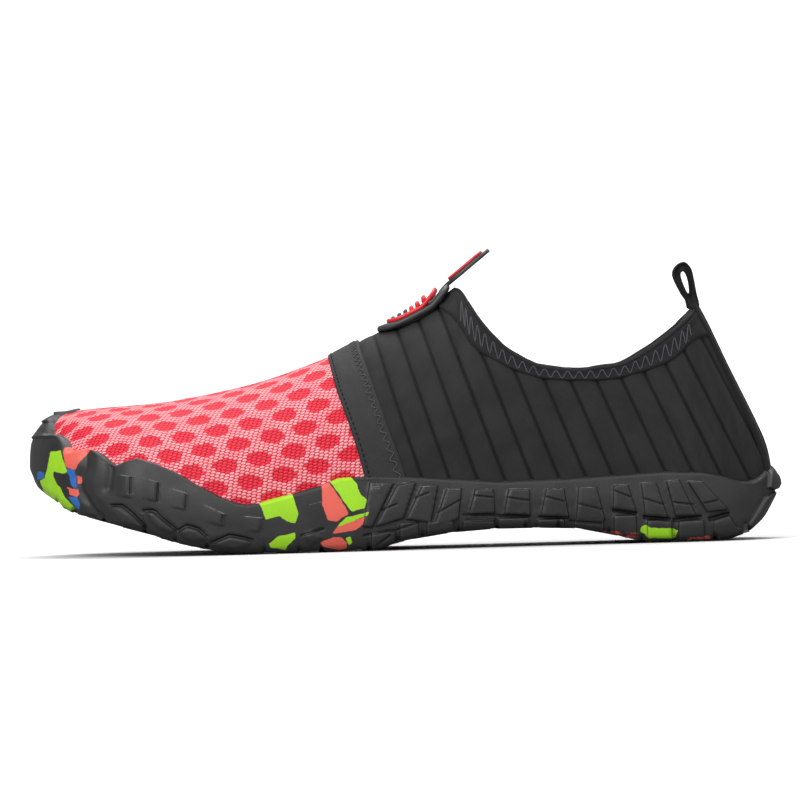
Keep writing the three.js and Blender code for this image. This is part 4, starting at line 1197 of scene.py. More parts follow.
def makeSole():
    xs = stationsBetween(tipX, heelX, soleMake["stations"])
    at = shareAt(xs)
    footGrow = smoothCurve([0, 0.45, 0.8, 1.0], [1.0, 1.0, 0.75, 0.1])
    ring, inside, colours = {}, {}, {}
    closedSides = []
    for side in (-1, 1):
        rows = outerRim if side < 0 else innerRim
        plain = [row for row in rows if row[0] <= 0.961]
        order = sorted(plain)
        rim = np.interp(at, [row[0] for row in order], [row[1] for row in order]) * shoe["rimHeight"]
        high = mix(np.minimum(rim + 3, topHeight(xs)), topHeight(xs), smoothStep(at, 0.86, 0.915))
        top = angleAt(xs, high)
        top = np.where(high > topHeight(xs) - 0.02, np.pi / 2, top)
        closedSides.append(top > np.pi / 2 - 1e-9)
        t = np.linspace(0, 1, soleMake["wallRows"])
        angle = top[:, None] * t
        x = np.repeat(xs[:, None], len(t), axis=1)
        place = formPoint(x, angle, side)
        px, pz = place[..., 0], place[..., 2]
        lap = 1 - 0.45 * smoothStep(px, -130, -122) * smoothStep(pz, 44, 50)
        thick = wallThickness(px, pz) * lap
        # the rubber's own outline is drawn where its outer face comes to lie
        face = raised(place, thick)
        seen = face[..., 0], face[..., 2]
        d = rubberDistance(face[..., 0], face[..., 1], face[..., 2], side)
        depth = np.clip(d / 1.3, 0, 1)
        relief = soleRelief(*seen) * smoothStep(d, 0.2, 1.6)
        out = np.where(
            d > 0, 0.15 + (thick + relief - 0.15) * np.sqrt(1 - (1 - depth) ** 2),
            0.15 - 0.9 * np.clip(-d / 0.8, 0, 1),
        )
        wall = raised(place, out)
        down = np.linspace(0, 1, soleMake["footRows"] + 1)[1:]
        base = place[:, 0]
        normal = formNormal(base[:, 0], base[:, 1], base[:, 2])
        foot = base[:, None, :] + normal[:, None, :] * (3.5 * footGrow(down))[None, :, None]
        lowest = treadHeight(foot[..., 0]) + edgeNotch(foot[..., 0])
        footZ = mix(base[:, None, 2], lowest, down[None, :])
        lift = soleRelief(foot[..., 0], footZ) * (1 - smoothStep(down, 0.85, 1.0))[None, :]
        foot = foot + normal[:, None, :] * lift[..., None]
        foot[..., 2] = footZ
        whole = np.concatenate([foot[:, ::-1], wall], axis=1)
        ring[side] = whole
        seenX = np.concatenate([foot[:, ::-1, 0], seen[0]], axis=1)
        seenZ = np.concatenate([footZ[:, ::-1], seen[1]], axis=1)
        colours[side] = {**patchColours(seenX, seenZ, side), **blockDistances(seenX, seenZ)}
        t = np.linspace(1, 0, soleMake["insideRows"])
        place = formPoint(np.repeat(xs[:, None], len(t), axis=1), top[:, None] * t, side)
        inside[side] = raised(place, np.full(place.shape[:2], -0.9))
    t = np.linspace(0, 1, soleMake["bottomRows"] + 2)[1:-1]
    bottom = mix(ring[-1][:, :1], ring[1][:, :1], t[None, :, None])
    border = np.minimum(np.arange(len(t)), np.arange(len(t))[::-1])[None, :] < 1
    bottom[..., 2] = np.where(
        border, treadHeight(bottom[..., 0]) + edgeNotch(bottom[..., 0]), plateHeight(bottom[..., 0])
    )
    t = np.linspace(0, 1, soleMake["floorRows"] + 2)[1:-1]
    left, right = inside[-1][:, -1:].copy(), inside[1][:, -1:].copy()
    left[..., 2] = right[..., 2] = bedHeight(left[..., 0])
    floor = mix(right, left, t[None, :, None])
    floor[..., 2] = bedHeight(floor[..., 0])
    parts = [ring[-1][:, ::-1], bottom, ring[1], inside[1], right, floor, left, inside[-1][:, ::-1]]
    loop = np.concatenate(parts, axis=1)
    count, around = loop.shape[:2]
    index = np.arange(count * around).reshape(count, around)
    quads = gridQuads(index, closedColumns=True)
    bothClosed = closedSides[0] & closedSides[1]
    shut = bothClosed[:-1] & bothClosed[1:]
    sideRows = ring[-1].shape[1]
    joinRight = sideRows + bottom.shape[1] + ring[1].shape[1] - 1
    keep = np.ones(quads.shape[:2], bool)
    keep[shut, joinRight] = False
    keep[shut, around - 1] = False
    faces = [quads[keep]]
    for end, turn in ((0, 1), (count - 1, -1)):
        row = index[end]
        outside = row[: sideRows * 2 + bottom.shape[1]]
        within = row[sideRows * 2 + bottom.shape[1]:]
        for strip in (outside, within):
            pairs = len(strip) // 2
            first, second = strip[: pairs], strip[::-1][: pairs]
            cap = np.stack([first[:-1], first[1:], second[1:], second[:-1]], axis=-1)
            faces.append(cap[:, ::turn])
    values = {}
    tail = around - sideRows * 2 - bottom.shape[1]
    for key, plain in (
        *((name, -3.0) for name in ("lime", "coral", "blue")), ("block", 2.0), *plainStrokes
    ):
        under = np.full((count, bottom.shape[1]), plain)
        values[key] = np.concatenate(
            [colours[-1][key][:, ::-1], under, colours[1][key], np.full((count, tail), plain)], axis=1
        )
    piece = newPiece(
        "sole_rubber", loop, np.concatenate([f.reshape(-1, 4) for f in faces]), [mouldedRubber], None,
        values,
    )
    return finishPiece(piece, ["outsole"])


treadMake = {
    "rows": [
        (0.052, 0.098, 2), (0.113, 0.155, 3), (0.17, 0.212, 3), (0.228, 0.268, 2), (0.284, 0.324, 2),
        (0.34, 0.38, 2), (0.396, 0.436, 2), (0.452, 0.492, 3), (0.51, 0.55, 3), (0.566, 0.606, 4),
        (0.622, 0.662, 4), (0.678, 0.716, 4), (0.732, 0.772, 4), (0.788, 0.824, 4), (0.84, 0.874, 3),
        (0.89, 0.92, 3), (0.934, 0.956, 2),
    ],
    "gap": 4.0,
    "inset": 2.6,
    "lean": 1.6,
}


def makeTread():
    # pads of the tread, each a chevron of two leaning halves
    points, quads, start = [], [], 0
    for back, front, pads in treadMake["rows"]:
        middle = float(xAt((back + front) / 2))
        reach = 2.1 - treadMake["inset"]
        ends = [float(centreLine(middle) + side * (halfWidth(middle, side) + reach)) for side in (-1, 1)]
        width = (ends[1] - ends[0] - treadMake["gap"] * (pads - 1)) / pads
        for i in range(pads):
            y0 = ends[0] + i * (width + treadMake["gap"])
            x0, x1 = float(xAt(front)), float(xAt(back))
            ring = []
            for level in (0.0, 0.35, 1.0):
                spread = 0.0 if level > 0 else -0.7
                for px, py in (
                    (x0 + treadMake["lean"], y0), (x0, y0 + width / 2),
                    (x0 + treadMake["lean"], y0 + width),
                    (x1 + treadMake["lean"], y0 + width), (x1, y0 + width / 2),
                    (x1 + treadMake["lean"], y0),
                ):
                    cx, cy = (x0 + x1) / 2, y0 + width / 2
                    qx = px + math.copysign(spread, px - cx)
                    qy = py + (math.copysign(spread, py - cy) if abs(py - cy) > 0.1 else 0)
                    low = float(treadHeight(np.array(qx)))
                    high = float(plateHeight(np.array(qx))) + 1.2
                    ring.append((qx, qy, mix(low, high, level)))
            points += ring
            for level in (0, 1):
                for k in range(6):
                    base, n = start + level * 6, (k + 1) % 6
                    quads.append([base + k, base + n, base + 6 + n, base + 6 + k])
            quads += [
                [start + 0, start + 5, start + 4, start + 1], [start + 1, start + 4, start + 3, start + 2]
            ]
            quads += [
                [start + 12, start + 13, start + 16, start + 17],
                [start + 13, start + 14, start + 15, start + 16],
            ]
            start += 18
    points = np.array(points)
    x = points[:, 0]
    wave = np.sin(x * 0.09) * 6 + np.abs(points[:, 1]) * 0.06
    across = np.abs(points[:, 1] - centreLine(x)) / halfWidth(x, -1)
    edge = 5 * smoothStep(across, 0.55, 0.8)
    values = {
        "lime": np.clip(3 - np.abs(x + 38 + wave) * 0.25 - edge, -3, 3),
        "coral": np.clip(3 - np.abs(x + 20 + wave) * 0.3 - edge, -3, 3),
        "blue": np.clip(2.2 - np.abs(x - 105 + wave) * 0.3 - edge, -3, 3),
        "block": np.full(len(x), 2.0),
        **{key: np.full(len(x), plain) for key, plain in plainStrokes},
    }
    piece = newPiece("tread_pads", points, quads, [mouldedRubber], None, values)
    piece.data.polygons.foreach_set("use_smooth", np.zeros(len(piece.data.polygons), bool))
    return finishPiece(piece)


def closedStrip(name, rows, materials, uv=None):
    # closed skin over rings of points, flat ends
    rows = np.asarray(rows)
    count, around = rows.shape[:2]
    index = np.arange(count * around).reshape(count, around)
    quads = [gridQuads(index, closedColumns=True).reshape(-1, 4)]
    for end, turn in ((0, 1), (count - 1, -1)):
        first, second = index[end][: around // 2], index[end][::-1][: around // 2]
        quads.append(np.stack([first[:-1], first[1:], second[1:], second[:-1]], axis=-1)[:, ::turn])
    return newPiece(name, rows, np.concatenate(quads), materials, uv=uv)


bandMake = {"girthRows": 150, "across": 22, "height": 0.75, "edge": 0.9, "startAngle": 0.05}


def bandPlace(angle, t):
    # angle runs from the outer side over the top to the inner side, t from the front edge to the back
    side = np.where(angle <= np.pi / 2, -1, 1)
    near = np.where(angle <= np.pi / 2, angle, np.pi - angle)
    x = np.full(np.broadcast(angle, t).shape, -14.0)
    for _ in range(14):
        z = formPoint(x, near, -1)[..., 2]
        x = mix(bandEdge(z, 1), bandEdge(z, 2), t)
    z = formPoint(x, near, -1)[..., 2]
    y = centreLine(x) + side * halfWidth(x, side) * np.abs(np.cos(near))
    return np.stack([x, y, z], axis=-1)


def makeBand():
    angle = np.linspace(
        bandMake["startAngle"], np.pi - bandMake["startAngle"], bandMake["girthRows"]
    )[:, None]
    t = np.linspace(0, 1, bandMake["across"])
    t = 0.5 - 0.5 * np.cos(np.pi * t) * (0.75 + 0.25 * np.abs(np.cos(np.pi * t)))
    place = bandPlace(angle, np.broadcast_to(t, (len(angle), len(t))))
    width = 14.5
    fromEdge = np.minimum(t, 1 - t) * width
    rise = bandMake["height"] * np.sqrt(1 - (1 - np.clip(fromEdge / bandMake["edge"], 0, 1)) ** 2)
    seamFront = 0.28 * np.exp(-(((t * width - 1.9) / 0.5) ** 2))
    seamBack = 0.28 * np.exp(-((((1 - t) * width - 1.9) / 0.5) ** 2))
    outer = raised(place, np.broadcast_to(0.15 + rise - seamFront - seamBack, place.shape[:2]))
    inner = raised(place[:, [-1, -6, 5, 0]], np.full((len(angle), 4), 0.02))
    rows = np.concatenate([outer, inner], axis=1)
    along = np.concatenate([[0], np.cumsum(np.linalg.norm(np.diff(place[:, 8], axis=0), axis=-1))]) / 1000
    across = np.concatenate([t * width, np.array([1, 0.6, 0.4, 0]) * width]) / 1000
    uv = np.stack(np.broadcast_arrays(along[:, None], across[None, :]), axis=-1)
    piece = closedStrip("vamp_strap", rows, [bandWebbing], uv)
    return finishPiece(piece, ["vamp_band"])


bindingMake = {"stations": 260, "faceRows": 20, "rollRows": 9, "height": 0.95, "roll": 1.3, "drop": 1.4}


def makeBinding():
    x0, x1 = float(xAt(0.446)), float(xAt(0.088))
    xs = stationsBetween(x0, x1, bindingMake["stations"], lambda x: 2.5 * collarSpread(x))
    top = collarAngle(xs)
    closed = top > np.pi / 2 - 1e-6
    low = angleAt(xs, bindingShare(shareAt(xs)) * shoe["instepHeight"])
    low = np.minimum(low, top - 0.02)
    points, quads, uvs, start, columns = [], [], [], 0, {}
    for side in (-1, 1):
        edge = formPoint(xs, top, side)
        # down over the form from the edge, for the drop under the roll
        below = formPoint(xs, np.maximum(top - 0.05, 0.01), side)
        up = edge - below
        up /= np.linalg.norm(up, axis=-1, keepdims=True)
        normal = formNormal(edge[:, 0], edge[:, 1], edge[:, 2])
        t = np.linspace(0, 1, bindingMake["faceRows"])
        angle = low[:, None] + (top - low)[:, None] * t
        place = formPoint(np.repeat(xs[:, None], len(t), axis=1), angle, side)
        face = 0.1 + bindingMake["height"] * np.sqrt(1 - (1 - np.clip(t / 0.12, 0, 1)) ** 2)
        face = face - 0.4 * np.exp(-(((t - 0.84) / 0.045) ** 2)) - 0.25 * np.exp(-(((t - 0.4) / 0.16) ** 2))
        outer = raised(place, np.broadcast_to(face, place.shape[:2]))
        opened = (~closed)[:, None, None]
        # the roll sits lower where the collar hangs well below the top line
        drop = bindingMake["drop"] * smoothStep(topHeight(xs) - edge[:, 2], 0.3, 7.0)[:, None, None]
        outer = outer - up[:, None, :] * drop * smoothStep(t, 0.6, 1.0)[None, :, None] * opened
        turn = np.linspace(0, np.pi, bindingMake["rollRows"])[1:]
        middle = (bindingMake["height"] + 0.1 - 2.2) / 2
        reach = (bindingMake["height"] + 0.1 + 2.2) / 2
        roll = edge[:, None] - up[:, None] * drop
        roll = roll + normal[:, None] * (middle + reach * np.cos(turn))[None, :, None] + up[:, None] * (
            bindingMake["roll"] * np.sin(turn)
        )[None, :, None]
        lineUp = edge[:, None] + normal[:, None] * (middle + reach * np.cos(turn))[None, :, None]
        roll = np.where(opened, roll, lineUp)
        inner = raised(formPoint(xs, (low + top) / 2, side), np.full(len(xs), -2.2))[:, None]
        foot = raised(formPoint(xs, low, side), np.full(len(xs), -1.2))[:, None]
        rows = np.concatenate([outer, roll, inner, foot], axis=1)
        off = side * (rows[..., 1] - centreLine(rows[..., 0]))
        rows[..., 1] = centreLine(rows[..., 0]) + side * np.maximum(off, 0)
        index = start + np.arange(rows.shape[0] * rows.shape[1]).reshape(rows.shape[:2])
        start += index.size
        columns[side] = index
        faces = gridQuads(index, closedColumns=True)
        keep = np.ones(faces.shape[:2], bool)
        shut = closed[:-1] & closed[1:]
        firstRoll = bindingMake["faceRows"] - 1
        keep[np.ix_(shut, np.arange(firstRoll, firstRoll + bindingMake["rollRows"] - 1))] = False
        faces = faces[keep]
        quads.append(faces if side < 0 else faces[:, ::-1])
        points.append(rows.reshape(-1, 3))
        way = ridgeWay(xs)[:, None] + np.abs(edge[:, 1:2])
        across = np.arange(rows.shape[1])[None, :] * 1.1
        uvs.append(np.stack(np.broadcast_arrays(way / 1000, across / 1000), axis=-1).reshape(-1, 2))
    for end, turn in ((0, 1), (-1, -1)):
        left, right = columns[-1][end], columns[1][end]
        half = bindingMake["faceRows"]
        # the end of each side: a flat face between the outer rows and the inner ones
        for side, line in ((-1, left), (1, right)):
            outer, inner = line[:half], line[::-1]
            inner = np.array(
                [inner[0], inner[1]] + [inner[1]] * (half - 3) + [line[half + bindingMake["rollRows"] - 2]]
            )
            cap = np.stack([outer[:-1], outer[1:], inner[1:], inner[:-1]], axis=-1)
            quads.append(cap[:, :: (turn * -side)])
    piece = newPiece(
        "collar_edge", np.concatenate(points), np.concatenate(quads), [bindingCloth], None, None,
        np.concatenate(uvs),
    )
    return finishPiece(piece, ["collar_binding"])


tapeMake = {"half": 10.0, "low": 20.0, "high": 86.0, "rows": 90, "columns": 26, "height": 1.75}


def heelSurface(y, z):
    # x of the form's back at the given width and height
    near, far = np.full(y.shape, 90.0), np.full(y.shape, float(heelX))
    for _ in range(40):
        middle = (near + far) / 2
        inside = formField(middle, y, z) < 0
        near, far = np.where(inside, middle, near), np.where(inside, far, middle)
    return (near + far) / 2


def makeTape():
    y = np.linspace(-1, 1, tapeMake["columns"])
    y = np.sign(y) * (1 - (1 - np.abs(y)) ** 1.5) * tapeMake["half"]
    z = np.linspace(tapeMake["low"], tapeMake["high"], tapeMake["rows"])
    y, z = np.meshgrid(y, z)
    place = np.stack([heelSurface(y, z), y, z], axis=-1)
    fromEdge = tapeMake["half"] - np.abs(y)
    rise = 0.2 + (tapeMake["height"] - 0.2) * np.sqrt(1 - (1 - np.clip(fromEdge / 1.2, 0, 1)) ** 2)
    rise -= 0.5 * np.exp(-(((np.abs(y) - 5.2) / 0.45) ** 2))
    outer = raised(place, rise)
    inner = raised(place[:, [-1, -9, 8, 0]], np.full((tapeMake["rows"], 4), 0.05))
    rows = np.concatenate([outer, inner], axis=1)
    across = np.concatenate([y[0], y[0, [-1, -9, 8, 0]]])
    uv = np.stack(np.broadcast_arrays(z[:, :1] / 1000, across[None] / 1000), axis=-1)
    piece = closedStrip("heel_strip", rows, [tapeCloth], uv)
    return finishPiece(piece, ["heel_tape"])


loopMake = {
    "outer": [
        (2.3, -1.5), (1.4, 4.4), (0.7, 8.9), (-0.3, 13.1), (-2.7, 15.6), (-5.7, 14.4), (-7.1, 10.9),
        (-4.6, 4.8), (-2.4, 1.2), (-1.8, -1.5),
    ],
    "hole": [(-1.1, 4.2), (-1.2, 7.4), (-1.9, 10.6), (-3.0, 12.2), (-4.2, 11.0), (-3.4, 7.6), (-2.0, 4.4)],
    "width": 10.0,
    "round": 0.7,
    "around": 96,
}


def roundLoop(points, count):
    # smooth closed curve through the points
    p = np.array(points, float)
    n = len(p)
    t = np.linspace(0, n, count, endpoint=False)
    i, f = np.floor(t).astype(int) % n, (t % 1)[:, None]
    a, b, c, d = p[(i - 1) % n], p[i], p[(i + 1) % n], p[(i + 2) % n]
    return 0.5 * (2 * b + (c - a) * f + (2 * a - 5 * b + 4 * c - d) * f**2 + (3 * b - a - 3 * c + d) * f**3)


def makeLoop():
    footX, footZ = float(xAt(0.1073)), 0.901 * shoe["instepHeight"]
    outer, hole = roundLoop(loopMake["outer"], 400), roundLoop(loopMake["hole"], 400)
    centre = np.array([-2.6, 8.2])
    angles = np.linspace(0, 2 * np.pi, loopMake["around"], endpoint=False)

    def byAngle(curve):
        a = np.unwrap(np.arctan2(curve[:, 1] - centre[1], curve[:, 0] - centre[0]))
        order = np.argsort(np.mod(a, 2 * np.pi))
        turned = np.mod(a, 2 * np.pi)[order]
        return np.stack(
            [np.interp(angles, turned, curve[order, k], period=2 * np.pi) for k in (0, 1)], axis=-1
        )

    outer, hole = byAngle(outer), byAngle(hole)
    toward = hole - outer
    toward /= np.linalg.norm(toward, axis=1, keepdims=True)
    half, r = loopMake["width"] / 2, loopMake["round"]
    section = [
        (-half + r * (1 - math.sin(a)), r * (1 - math.cos(a))) for a in np.linspace(0, math.pi / 2, 4)
    ]
    section += [(-y, inset) for y, inset in section[::-1]]

    def ringAt(curve, y):
        return np.column_stack([curve[:, 0], np.full(len(curve), y), curve[:, 1]])

    rings = [ringAt(outer + toward * inset, y) for y, inset in section]
    rings += [ringAt(hole - toward * inset * 0.5, y) for y, inset in section[::-1]]
    rows = np.array(rings).transpose(1, 0, 2) + np.array([footX, 0, footZ])
    index = np.arange(rows.shape[0] * rows.shape[1]).reshape(rows.shape[:2])
    quads = gridQuads(index, closedRows=True, closedColumns=True)
    way = np.concatenate([[0], np.cumsum(np.linalg.norm(np.diff(rows[:, 0], axis=0), axis=1))])
    uv = np.stack([np.repeat(way[:, None], rows.shape[1], axis=1), rows[..., 1]], axis=-1) / 1000
    piece = newPiece("heel_pull_loop", rows, quads, [tapeCloth], None, None, uv)
    return finishPiece(piece, ["heel_loop"])


badgeMake = {
    "back": 0.431,
    "front": 0.5275,
    "outline": [(0.0, 0.3), (0.06, 0.42), (0.35, 0.47), (0.65, 0.47), (0.9, 0.4), (1.0, 0.27)],
    "redRibs": [(5.7, 4.3), (8.2, 4.7), (10.8, 5.0)],
    "blackRibs": [(-1.6, 3.6), (0.9, 3.8), (3.3, 4.0)],
    "flatness": 0.6,
    "plateRise": 2.2,
    "frameRise": 2.6,
}


def badgeHalf(along):
    return column(badgeMake["outline"], 1)(along)


def badgeEdge(inset, steps):
    # closed outline of the badge from above, moved inwards
    back, front = float(xAt(badgeMake["back"])), float(xAt(badgeMake["front"]))
    size = back - front
    corner = np.linspace(0, 1, steps)
    x = back - inset - (size - 2 * inset) * corner
    ends = np.minimum(np.clip((corner * size) / 2.4, 0, 1), np.clip(((1 - corner) * size) / 5.0, 0, 1))
    half = badgeHalf(corner) * size * (0.72 + 0.28 * np.sqrt(1 - (1 - ends) ** 2)) - inset
    right = np.column_stack([x, centreLine(x) + half])
    left = np.column_stack([x, centreLine(x) - half])[::-1]
    return np.concatenate([right, left])


def onForm(x, y):
    off = y - centreLine(x)
    across = np.clip(off / halfWidth(x, np.where(off < 0, -1, 1)), -0.999, 0.999)
    up = (1 - across**2) ** (1 / shoe["crossPower"])
    return np.stack(np.broadcast_arrays(x, y, baseHeight(x) + (topHeight(x) - baseHeight(x)) * up), axis=-1)


def ringShell(name, edges, materials):
    # rings of points, the last one pulled together to a seam
    rows = np.array(edges)
    index = np.arange(rows.shape[0] * rows.shape[1]).reshape(rows.shape[:2])
    quads = [gridQuads(index, closedColumns=True).reshape(-1, 4)]
    for end, turn in ((0, -1), (len(rows) - 1, 1)):
        first, second = index[end][: rows.shape[1] // 2], index[end][::-1][: rows.shape[1] // 2]
        quads.append(np.stack([first[:-1], first[1:], second[1:], second[:-1]], axis=-1)[:, ::turn])
    uv = rows[..., :2] / 1000
    return newPiece(name, rows, np.concatenate(quads), materials, None, None, uv)


def onBadge(edge, height, up):
    # the plate is stiffer than the cloth, so it lies flatter over the instep
    place = onForm(edge[:, 0], edge[:, 1])
    normal = formNormal(place[:, 0], place[:, 1], place[:, 2]) * np.array([1.0, 0.45, 1.0])
    normal /= np.linalg.norm(normal, axis=1, keepdims=True)
    place[:, 2] += badgeMake["flatness"] * (topHeight(edge[:, 0]) - place[:, 2]) + up
    return place + normal * height


def makeBadge():
    steps = 40
    tucked = badgeEdge(3.0, steps)
    rings = [raised(onForm(tucked[:, 0], tucked[:, 1]), np.full(len(tucked), 0.05))]
    for inset, height in (
        (0.4, 0.0), (0.0, 0.3), (-0.25, 0.9), (-0.2, 1.5), (0.15, 2.0), (0.8, 2.2), (2.4, 2.1), (5.5, 1.9),
        (8.0, 1.9),
    ):
        edge = badgeEdge(inset, steps)
        rings.append(onBadge(edge, height, badgeMake["plateRise"] * smoothStep(edge[:, 0], 12.0, 18.5)))
    finishPiece(ringShell("badge_plate", rings, [blackMoulding]), ["badge_base"])
    finishPiece(badgeRibs("badge_black_ribs", badgeMake["blackRibs"], blackMoulding))
    section = [
        (1.1, 1.9), (1.1, 2.9), (1.3, 3.25), (1.7, 3.4), (2.4, 3.4), (2.8, 3.25), (3.0, 2.9), (3.0, 1.9)
    ]
    rows = []
    for inset, height in section:
        edge = badgeEdge(inset, steps)
        # the frame stops short of both ends of the plate and its back end stands up
        front = float(xAt(badgeMake["front"]))
        edge[:, 0] = np.where(
            edge[:, 0] < front + 8, front + 8 - (front + 8 - edge[:, 0]) * 0.62, edge[:, 0]
        )
        edge[:, 0] = np.where(edge[:, 0] > 11, 11 + (edge[:, 0] - 11) * 0.62, edge[:, 0])
        rows.append(onBadge(edge, height, badgeMake["frameRise"] * smoothStep(edge[:, 0], 8.5, 15.5)))
    rows = np.array(rows).transpose(1, 0, 2)
    index = np.arange(rows.shape[0] * rows.shape[1]).reshape(rows.shape[:2])
    quads = gridQuads(index, closedRows=True, closedColumns=True)
    piece = newPiece("badge_ridge", rows, quads, [redMoulding])
    finishPiece(piece, ["badge_frame"])
    finishPiece(badgeRibs("badge_red_ribs", badgeMake["redRibs"], redMoulding))


def badgeRibs(name, places, material):
    # cross ribs, each given by its place and height, leaning back
    parts, quads, start = [], [], 0
    for middle, height in places:
        size = float(xAt(badgeMake["back"]) - xAt(badgeMake["front"]))
        half = float(badgeHalf(np.array((float(xAt(badgeMake["back"])) - middle) / size))) * size - 3.4
        y = np.linspace(-half, half, 16) + float(centreLine(np.array(middle)))
        rib = []
        for dx, lift in (
            (-0.8, 1.5), (-0.45, height - 0.4), (0.1, height), (0.8, height), (1.1, height - 0.4),
            (0.7, 1.5),
        ):
            edge = np.column_stack([np.full(len(y), middle + dx), y])
            rib.append(
                onBadge(edge, lift, badgeMake["frameRise"] * float(smoothStep(middle, 8.5, 15.5)) * 0.6)
            )
        rib = np.array(rib).transpose(1, 0, 2)
        number = start + np.arange(rib.shape[0] * rib.shape[1]).reshape(rib.shape[:2])
        start += number.size
        parts.append(rib.reshape(-1, 3))
        quads.append(gridQuads(number, closedColumns=True).reshape(-1, 4))
        for end, turn in ((0, 1), (-1, -1)):
            line = number[end]
            quads.append(line[[[0, 1, 4, 5], [1, 2, 3, 4]]][:, ::turn])
    return newPiece(name, np.concatenate(parts), np.concatenate(quads), [material])


tabMake = {
    "path": [
        (15.3, 93.2), (16.4, 94.6), (18.1, 96.2), (21.0, 98.5), (24.2, 101.0), (27.4, 103.6), (30.6, 106.1),
        (33.6, 108.5),
    ],
    "inlayStart": (19.2, 97.1),
    "width": 13.0,
    "thickness": 1.5,
    "inlay": 1.1,
    "tip": 5.5,
}


def stripAlong(path, halfWidths, lift, thickness, centreY):
    # flat strip with soft edges standing over a path in the side view
    path = np.array(path, float)
    way = np.concatenate([[0], np.cumsum(np.hypot(*np.diff(path, axis=0).T))])
    s = np.linspace(0, way[-1], len(halfWidths))
    x, z = smoothCurve(way, path[:, 0])(s), smoothCurve(way, path[:, 1])(s)
    dx, dz = np.gradient(x, s), np.gradient(z, s)
    size = np.hypot(dx, dz)
    nx, nz = -dz / size, dx / size
    rows = []
    for k in range(len(s)):
        half = halfWidths[k]
        soft = min(0.35, thickness / 2, half * 0.5)
        top, across = lift + thickness, [-half + soft, -half * 0.5, half * 0.5, half - soft]
        ring = [(-half, lift + soft), *((y, top) for y in across), (half, lift + soft)]
        ring += [(y, lift) for y in across[::-1]]
        rows.append([(x[k] + nx[k] * h, centreY + y, z[k] + nz[k] * h) for y, h in ring])
    return np.array(rows)


def makeTab():
    centreY = float(centreLine(xAt(0.431)))
    steps = 60
    way = np.linspace(0, 1, steps)
    total = 23.0
    fromTip = (1 - way) * total
    half = tabMake["width"] / 2 * np.sqrt(1 - (1 - np.clip(fromTip / tabMake["tip"], 0.01, 1)) ** 2)
    neck = 1 - 0.4 * np.exp(-((way * total - 3.0) ** 2) / 10)
    rows = stripAlong(tabMake["path"], half * neck, -0.7, tabMake["thickness"], centreY)
    tab = closedStrip("pull_strip", rows, [blackMoulding])
    finishPiece(tab, ["pull_tab"])
    inlayPath = [tabMake["inlayStart"]] + tabMake["path"][3:]
    fromTip = (1 - way) * 18.4 - 2.4
    half = (tabMake["width"] / 2 - 1.4) * np.sqrt(1 - (1 - np.clip(fromTip / 4.6, 0.012, 1)) ** 2)
    neck = 1 - 0.3 * np.exp(-(way * 18.4) / 3)
    rows = stripAlong(inlayPath, half * neck, 0.78, tabMake["inlay"], centreY)
    keep = fromTip > 0
    inlay = closedStrip("pull_inlay", rows[keep], [redMoulding])
    return finishPiece(inlay, ["tab_inlay"])


def makeInsole():
    xs = stationsBetween(float(tipX) + 2.6, float(heelX) - 2.6, 150)
    rows = []
    for x in xs:
        z0 = float(bedHeight(np.array(x)))
        x = float(x)
        sides = [float(centreLine(x)) + s * max(float(halfWidth(x, s)) - 2.5, 0.2) for s in (-1, 1)]
        t = np.linspace(0, 1, 26)
        t = 0.5 - 0.5 * np.cos(np.pi * t)
        y = mix(sides[0], sides[1], t)
        edge = np.minimum(y - sides[0], sides[1] - y)
        lift = 3.4 - 0.9 * (1 - smoothStep(edge, 0, 1.6)) + 0.5 * (1 - smoothStep(edge, 2, 14))
        top = [(x, yy, z0 + ll) for yy, ll in zip(y, lift)]
        low = [(x, yy, z0 + 0.3) for yy in y[::-1]]
        rows.append(top + low)
    rows = np.array(rows)
    uv = rows[..., :2] / 1000
    piece = closedStrip("foot_bed", rows, [insoleFoam], uv)
    return finishPiece(piece, ["insole"])


